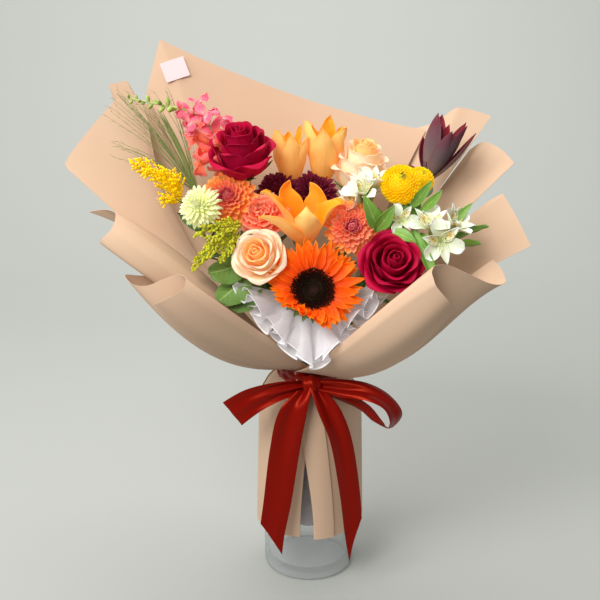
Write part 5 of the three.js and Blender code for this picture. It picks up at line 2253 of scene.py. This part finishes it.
class Bouquet:
    """Everything that stands in the vase."""

    gap = 0.4

    roses = (
        Rose("rose_crimson_left", (-74, -43, 526), (-0.1, -0.36, 0.93), 38, 64, 20, 3),
        Rose("rose_crimson_right", (88, -98, 417), (0.1, -0.8, 0.6), 36, 44, 70, 6),
        Rose("rose_peach_front", (-54, -98, 426), (-0.2, -0.86, 0.48), 29.5, 48, 40, 9,
             Finishes.PEACH, Finishes.PALE_PEACH),
        Rose("rose_peach_back", (58, 0, 500), (0.14, -0.16, 0.98), 34, 66, 0, 12,
             Finishes.PEACH, Finishes.PALE_PEACH),
    )
    full_heads = (
        FullHead("dahlia_left", (-88, -59, 480), (-0.15, -0.85, 0.45), 30, 28, 0, 21, 130, (0.3, 0.72),
                 (3.8, 8.2), finishes=(
                     Finishes.DAHLIA_HEART, Finishes.DAHLIA_ROSY, Finishes.DAHLIA, Finishes.DAHLIA)),
        FullHead("dahlia_right", (45, -70, 450), (0.1, -0.9, 0.4), 30, 26, 30, 22, 130, (0.3, 0.72),
                 (3.8, 8.0), finishes=(
                     Finishes.DAHLIA_HEART, Finishes.DAHLIA_ROSY, Finishes.DAHLIA_ROSY, Finishes.DAHLIA)),
        FullHead("carnation_coral", (-51, -62, 461), (-0.1, -0.8, 0.6), 23, 26, 0, 23, 48, (0.6, 0.85),
                 (9.0, 14.0), (84.0, 14.0), (10.0, -30.0), outline=Outline.FAN, cup=0.1, ruffle=2.6,
                 notch=0.14, columns=14, finishes=(Finishes.CORAL,)),
        FullHead("carnation_pale_green", (-118, -88, 478), (-0.3, -0.85, 0.45), 19, 28, 0, 24, 120,
                 (0.5, 0.95), (2.6, 4.2), (88.0, 2.0), (15.0, -55.0), 0.6, Outline.SPOON, 0.4, 1.4, 0.3,
                 finishes=(Finishes.PALE_GREEN,)),
        FullHead("mum_burgundy_left", (-36, -18, 478), (-0.2, -0.6, 0.8), 25, 28, 0, 25, 150, (0.35, 0.8),
                 (2.8, 4.8), outline=Outline.STRAP, finishes=(Finishes.BURGUNDY,)),
        FullHead("mum_burgundy_right", (5, -12, 477), (0.1, -0.6, 0.8), 25, 28, 40, 26, 150, (0.35, 0.8),
                 (2.8, 4.8), outline=Outline.STRAP, finishes=(Finishes.BURGUNDY,)),
    )
    pompons = (
        Pompon("pompon_yellow_front", (98, -52, 492), (0.1, -0.7, 0.7), 20, 34, 0, 31),
        Pompon("pompon_yellow_rear", (121, -30, 492), (0.3, -0.5, 0.8), 14.5, 24, 0, 32, 180),
    )
    sunflower = (
        Rays("sunflower_rays", (3, -104, 389), (0, -0.95, 0.32), 50, 16, 0, 41),
        SeedDisc("sunflower_disc", (3, -104, 389), (0, -0.95, 0.32), 23.4, 9, 0, 42),
    )
    lilies = (
        Lily("lily_front", (-5, -64, 426), (
            ((-33, -84, 474), (-53, -78, 489)), ((-24, -50, 470), (-22, -40, 495)),
            ((9, -48, 463), (0, -38, 492)), ((21, -72, 467), (36, -66, 473)),
            ((-32, -94, 455), (-55, -92, 466)), ((-4, -96, 455), (-4, -92, 478)),
        ), (0.0, -0.3, 0.95)),
        Lily("lily_back_left", (-20, 2, 474), (
            ((-32, -8, 509), (-39, -10, 545)), ((-8, -8, 507), (-2, -10, 538)),
            ((-20, -16, 506), (-20, -20, 541)), ((-12, 10, 510), (-9, 16, 546)),
            ((-31, 10, 509), (-35, 14, 540)), ((-21, 15, 508), (-24, 22, 538)),
        ), (-0.1, 0.08, 1.0), 27.0, 0.4, 0),
        Lily("lily_back_right", (14, 6, 474), (
            ((2, -4, 514), (-5, 0, 554)), ((29, -4, 512), (40, -5, 548)),
            ((15, -13, 510), (14, -19, 548)), ((20, 14, 518), (23, 17, 557)),
            ((5, 14, 514), (2, 22, 548)), ((29, 13, 512), (37, 18, 544)),
        ), (0.1, 0.1, 1.0), 28.0, 0.4, 0),
    )
    white_blooms = (
        SpiderCluster("alstroemeria_left", (
            Spider((56, -50, 470), (-0.75, -0.5, 0.4), 29.0, 10.0, 0.55),
            Spider((68, -40, 480), (0.05, -0.3, 0.95), 31.0, 40.0, 0.45),
            Spider((60, -48, 478), (-0.3, -0.5, 0.8), 28.0, 0.0, 0.5),
        )),
        SpiderCluster("alstroemeria_middle", (Spider((98, -66, 456), (0.2, -0.85, 0.45), 19.0, 20.0),), 12),
        SpiderCluster("alstroemeria_right", (
            Spider((140, -84, 438), (0.0, -0.95, 0.1), 27.0, 15.0),
            Spider((150, -70, 448), (0.6, -0.45, 0.65), 28.0, 50.0, 0.6),
            Spider((130, -70, 446), (-0.1, -0.45, 0.9), 29.0, 0.0, 0.55),
        )),
    )
    others = (
        BractCone("leucadendron", (132, 2, 484), (
            (141, -10, 563), (111, -12, 506), (128, 20, 532), (150, 26, 556), (176, 18, 548), (185, 0, 539),
            (173, -12, 549), (156, -18, 544),
        ), (154, 4, 560)),
        Spike("snapdragon", (
            (-90, 4, 512), (-108, -26, 524), (-107, -26, 548), (-124, -24, 564), (-152, -31, 573),
            (-196, -36, 583),
        )),
        Plume("goldenrod_yellow", (
            ((-140, -54, 476), (-150, -58, 494), (-166, -62, 508), (-190, -62, 518)),
            ((-142, -52, 478), (-146, -54, 494), (-156, -58, 500)),
            ((-140, -56, 474), (-150, -62, 480), (-157, -64, 478)),
            ((-142, -56, 480), (-158, -64, 500), (-176, -66, 508)),
        ), Finishes.GOLD, 17.0, 2.9, 1.0),
        Plume("goldenrod_green", (
            ((-75, -76, 455), (-86, -86, 459), (-104, -92, 457), (-121, -94, 446)),
            ((-78, -78, 448), (-92, -90, 444), (-106, -94, 434), (-114, -98, 418)),
            ((-80, -78, 446), (-96, -90, 438), (-112, -96, 426), (-125, -98, 411)),
            ((-76, -80, 446), (-86, -90, 434), (-94, -96, 419)),
            ((-74, -80, 452), (-84, -90, 452), (-96, -94, 448), (-108, -98, 444)),
        ), Finishes.OLIVE, 11.5, 3.1, 0.75, 7),
        GrassTuft("grass_fan", (-126, -20, 478), (
            (-222, 10, 562), (-211, 10, 579), (-219, 0, 528), (-159, 12, 583), (-200, 12, 574),
            (-183, 10, 566),
        ), (-166, 4, 563)),
        Leaf("alstroemeria_leaf", (
            ((148, -72, 430), (193, -70, 450), 14.0), ((148, -76, 426), (184, -80, 433), 12.0),
        ), (0.3, -0.5, 0.8), Finishes.BRIGHT_LEAF),
        Leaf("rose_leaf_upper", (
            ((-66, -74, 414), (-109, -92, 404), 34.0), ((-66, -76, 402), (-99, -98, 374), 34.0),
        ), (0.6, -0.6, -0.5)),
        Leaf("rose_leaf_lower", (((-56, -70, 392), (-88, -92, 364), 34.0),), (0.6, -0.6, -0.5)),
    )
    # Foot, tip, direction of the upper side and width of each leaf on the white blooms' stem.
    sprig = (
        ((84, -54, 436), (65, -56, 474), (0.2, -1, 0.2), 16.0),
        ((104, -52, 444), (120, -56, 486), (0.2, -1, 0.2), 15.0),
        ((98, -56, 442), (105, -58, 478), (-0.2, -1, 0.2), 13.0),
        ((86, -76, 446), (114, -90, 437), (0.0, -0.7, 0.7), 15.0),
        ((140, -66, 436), (176, -58, 474), (0.1, -0.8, 0.5), 13.0),
        ((118, -76, 444), (136, -96, 420), (0.0, -0.8, 0.5), 13.0),
        ((74, -70, 444), (56, -78, 488), (0.2, -1, 0.2), 17.0),
        ((71, -72, 446), (90, -78, 476), (0.2, -1, 0.2), 16.0),
        ((108, -60, 468), (131, -62, 500), (0.2, -1, 0.2), 12.0),
        ((120, -64, 466), (142, -66, 490), (0.2, -1, 0.2), 11.0),
    )

    def sprig_leaves(self) -> list[Blade]:
        """The leaves on the white blooms' stem, with one bare stalk among them."""
        leaves = [
            bowed(foot, tip, -3.0, facing, width, outline=Outline.LANCE, cup=0.25, columns=8, rows=16)
            for foot, tip, facing, width in self.sprig
        ]
        stalk = bowed((110, -80, 448), (131, -106, 404), 0.0, (0.3, -0.9, 0.2), 12.0,
                      outline=Outline.STRAP, cup=0.7, columns=8, rows=12)
        return [*leaves[:5], stalk, *leaves[5:]]

    def behind(self, head: Head) -> Array:
        """The point where a stem ends, just behind a head."""
        return floats(head.middle) - unit(floats(head.facing)) * (head.depth / 2 + self.gap)

    def single(self, head: Head, slot: tuple[float, float], radius: float) -> Stem:
        """The stem of a head that has its own."""
        return Stem(f"{head.name}_stem", slot, self.behind(head), head.facing, radius)

    def forked(self, heads: Sequence[Head]) -> list[tuple[Array, Point]]:
        """End and direction of each branch behind heads that share a stem."""
        return [(self.behind(head), head.facing) for head in heads]

    def stems(self) -> list[Stem]:
        """All stems."""
        crimson_left, crimson_right, peach_front, peach_back = self.roses
        dahlia_left, dahlia_right, coral, pale_green, *mums = self.full_heads
        rays = self.sunflower[0]
        whites = [bloom for cluster in self.white_blooms for bloom in cluster.blooms]
        return [
            self.single(crimson_left, (-1, 0), 2.6),
            self.single(crimson_right, (1.5, -3), 2.6),
            self.single(peach_front, (-1.5, -3), 2.6),
            self.single(peach_back, (1, 0), 2.6),
            self.single(dahlia_left, (-1.5, -1), 2.2),
            self.single(dahlia_right, (1, -2), 2.2),
            self.single(coral, (-1, -2), 1.8),
            self.single(pale_green, (-2.5, -1), 1.8),
            Stem("sunflower_stem", (0.5, -3), self.behind(rays), rays.facing, 3.4, 16.0),
            Stem("lily_stem", (0, -2), (-6, -34, 395), radius=2.6, bend=8.0,
                 heads=[(lily.base, lily.heart) for lily in self.lilies]),
            Stem("mum_burgundy_stem", (0, 0), (-8, 2, 430), bend=8.0, heads=self.forked(mums)),
            Stem("pompon_yellow_stem", (2.5, -1), (92, -22, 452), radius=1.8, bend=8.0,
                 heads=self.forked(self.pompons)),
            Stem("alstroemeria_stem", (2, -2), (86, -46, 425), bend=8.0,
                 heads=[(bloom.place, bloom.facing) for bloom in whites],
                 leaves=self.sprig_leaves(), finish=Finishes.PALE_STEM),
            Stem("goldenrod_yellow_stem", (-3, 0), (-140, -52, 474), (-0.5, -0.2, 0.9), 1.6, 8.0),
            Stem("goldenrod_green_stem", (-2, -2), (-74, -74, 446), (-0.5, -0.3, 0.8), 1.6, 8.0),
            Stem("leucadendron_stem", (2.5, 1), (132, 2, 484), (0.4, 0.0, 0.9), 2.4, 8.0),
            Stem("snapdragon_stem", (-1.5, 1), (-90, 4, 512), (-0.3, -0.25, 0.9), 2.0, 8.0),
            Stem("grass_stem", (-2, 0), (-126, -20, 478), (-0.4, 0.3, 0.8), 1.6, 8.0),
        ]

    def build(self) -> None:
        """Makes every flower, leaf and stem."""
        groups = (self.roses, self.full_heads, self.pompons, self.sunflower, self.lilies,
                  self.white_blooms, self.others, self.stems())
        for group in groups:
            for member in group:
                member.build()


# Studio


@dataclass
class Studio:
    """The floor, the lights and the camera.

    Attributes:
        eye: Place of the camera.
        pitch: How far it looks down, in degrees.
        lens: Its focal length in millimetres, on a 36 mm frame.
        lamps: For each lamp its place, target, size and power.
        world: Strength of the even light from all round.
        wall: How far back the floor has turned into a wall.
        bend: Radius of that turn.
    """

    eye: Point = (-10.8, -1219.0, 750.0)
    pitch: float = 18.45
    lens: float = 66.0
    lamps: tuple = (
        ("key", (-700, -1300, 1700), (0, 0, 430), 900, 30.0),
        ("side", (-1500, -900, 1300), (0, 0, 430), 900, 13.0),
        ("wall", (0, 600, 2200), (0, 1900, 900), 1600, 39.0),
    )
    world: float = 0.41
    wall: float = 1900.0
    bend: float = 900.0

    def build(self) -> None:
        """Sets the stage."""
        self.floor()
        for lamp in self.lamps:
            self.lamp(*lamp)
        self.camera()
        self.sky()

    def floor(self) -> None:
        """Adds a plain pale floor that bends up into a wall behind the bouquet."""
        bpy.ops.mesh.primitive_grid_add(x_subdivisions=1, y_subdivisions=64, size=1.0)
        floor = bpy.context.object
        floor.name = "studio_floor"
        turn = self.bend * math.pi / 2
        flat = self.wall - self.bend
        for vertex in floor.data.vertices:
            run = mix(-6000.0, flat + turn + 5000.0, vertex.co.y + 0.5)
            angle = min(max(run - flat, 0.0), turn) / self.bend
            y = min(run, flat) + self.bend * math.sin(angle)
            z = self.bend * (1.0 - math.cos(angle)) + max(run - flat - turn, 0.0)
            vertex.co = Vector((vertex.co.x * 16000.0, y, z)) * MILLIMETRE
        bpy.ops.object.shade_smooth()
        floor.data.materials.append(Finishes.STAGE.material())
        floor.visible_diffuse = False

    def lamp(self, name: str, place: Point, target: Point, size: float, power: float) -> None:
        """Adds a soft lamp.

        Args:
            name: Its name.
            place: Where it stands.
            target: Where it points.
            size: Width of its square face.
            power: Its power, in watts.
        """
        light = bpy.data.lights.new(name, "AREA")
        light.size = size * MILLIMETRE
        light.energy = power
        lamp = bpy.data.objects.new(name, light)
        lamp.location = Vector(place) * MILLIMETRE
        aim = (Vector(target) - Vector(place)).to_track_quat("-Z", "Y")
        lamp.rotation_euler = aim.to_euler()
        bpy.context.scene.collection.objects.link(lamp)

    def camera(self) -> None:
        """Adds the camera where the photograph was taken from."""
        data = bpy.data.cameras.new("camera")
        data.lens = self.lens
        data.sensor_width = 36.0
        camera = bpy.data.objects.new("camera", data)
        camera.location = Vector(self.eye) * MILLIMETRE
        camera.rotation_euler = (math.radians(90.0 - self.pitch), 0.0, 0.0)
        bpy.context.scene.collection.objects.link(camera)
        bpy.context.scene.camera = camera

    def sky(self) -> None:
        """Lights the scene evenly from all round, without a tint."""
        world = bpy.data.worlds.new("studio")
        world.use_nodes = True
        background = world.node_tree.nodes["Background"]
        background.inputs["Color"].default_value = paint("f0f2f0")
        background.inputs["Strength"].default_value = self.world
        bpy.context.scene.world = world
        bpy.context.scene.view_settings.view_transform = "Standard"


def corners(box: tuple[Vector, Vector]) -> list[list[float]]:
    """A box as plain lists."""
    return [list(corner) for corner in box]


def main() -> None:
    """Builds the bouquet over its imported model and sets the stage."""
    logging.basicConfig(level=logging.INFO, format="%(message)s")
    for part in (Vase(), Sleeve(), Wrap(), Card(), Ruffle(), Bow(), Bouquet(), Studio()):
        part.build()


if __name__ == "__main__":
    main()
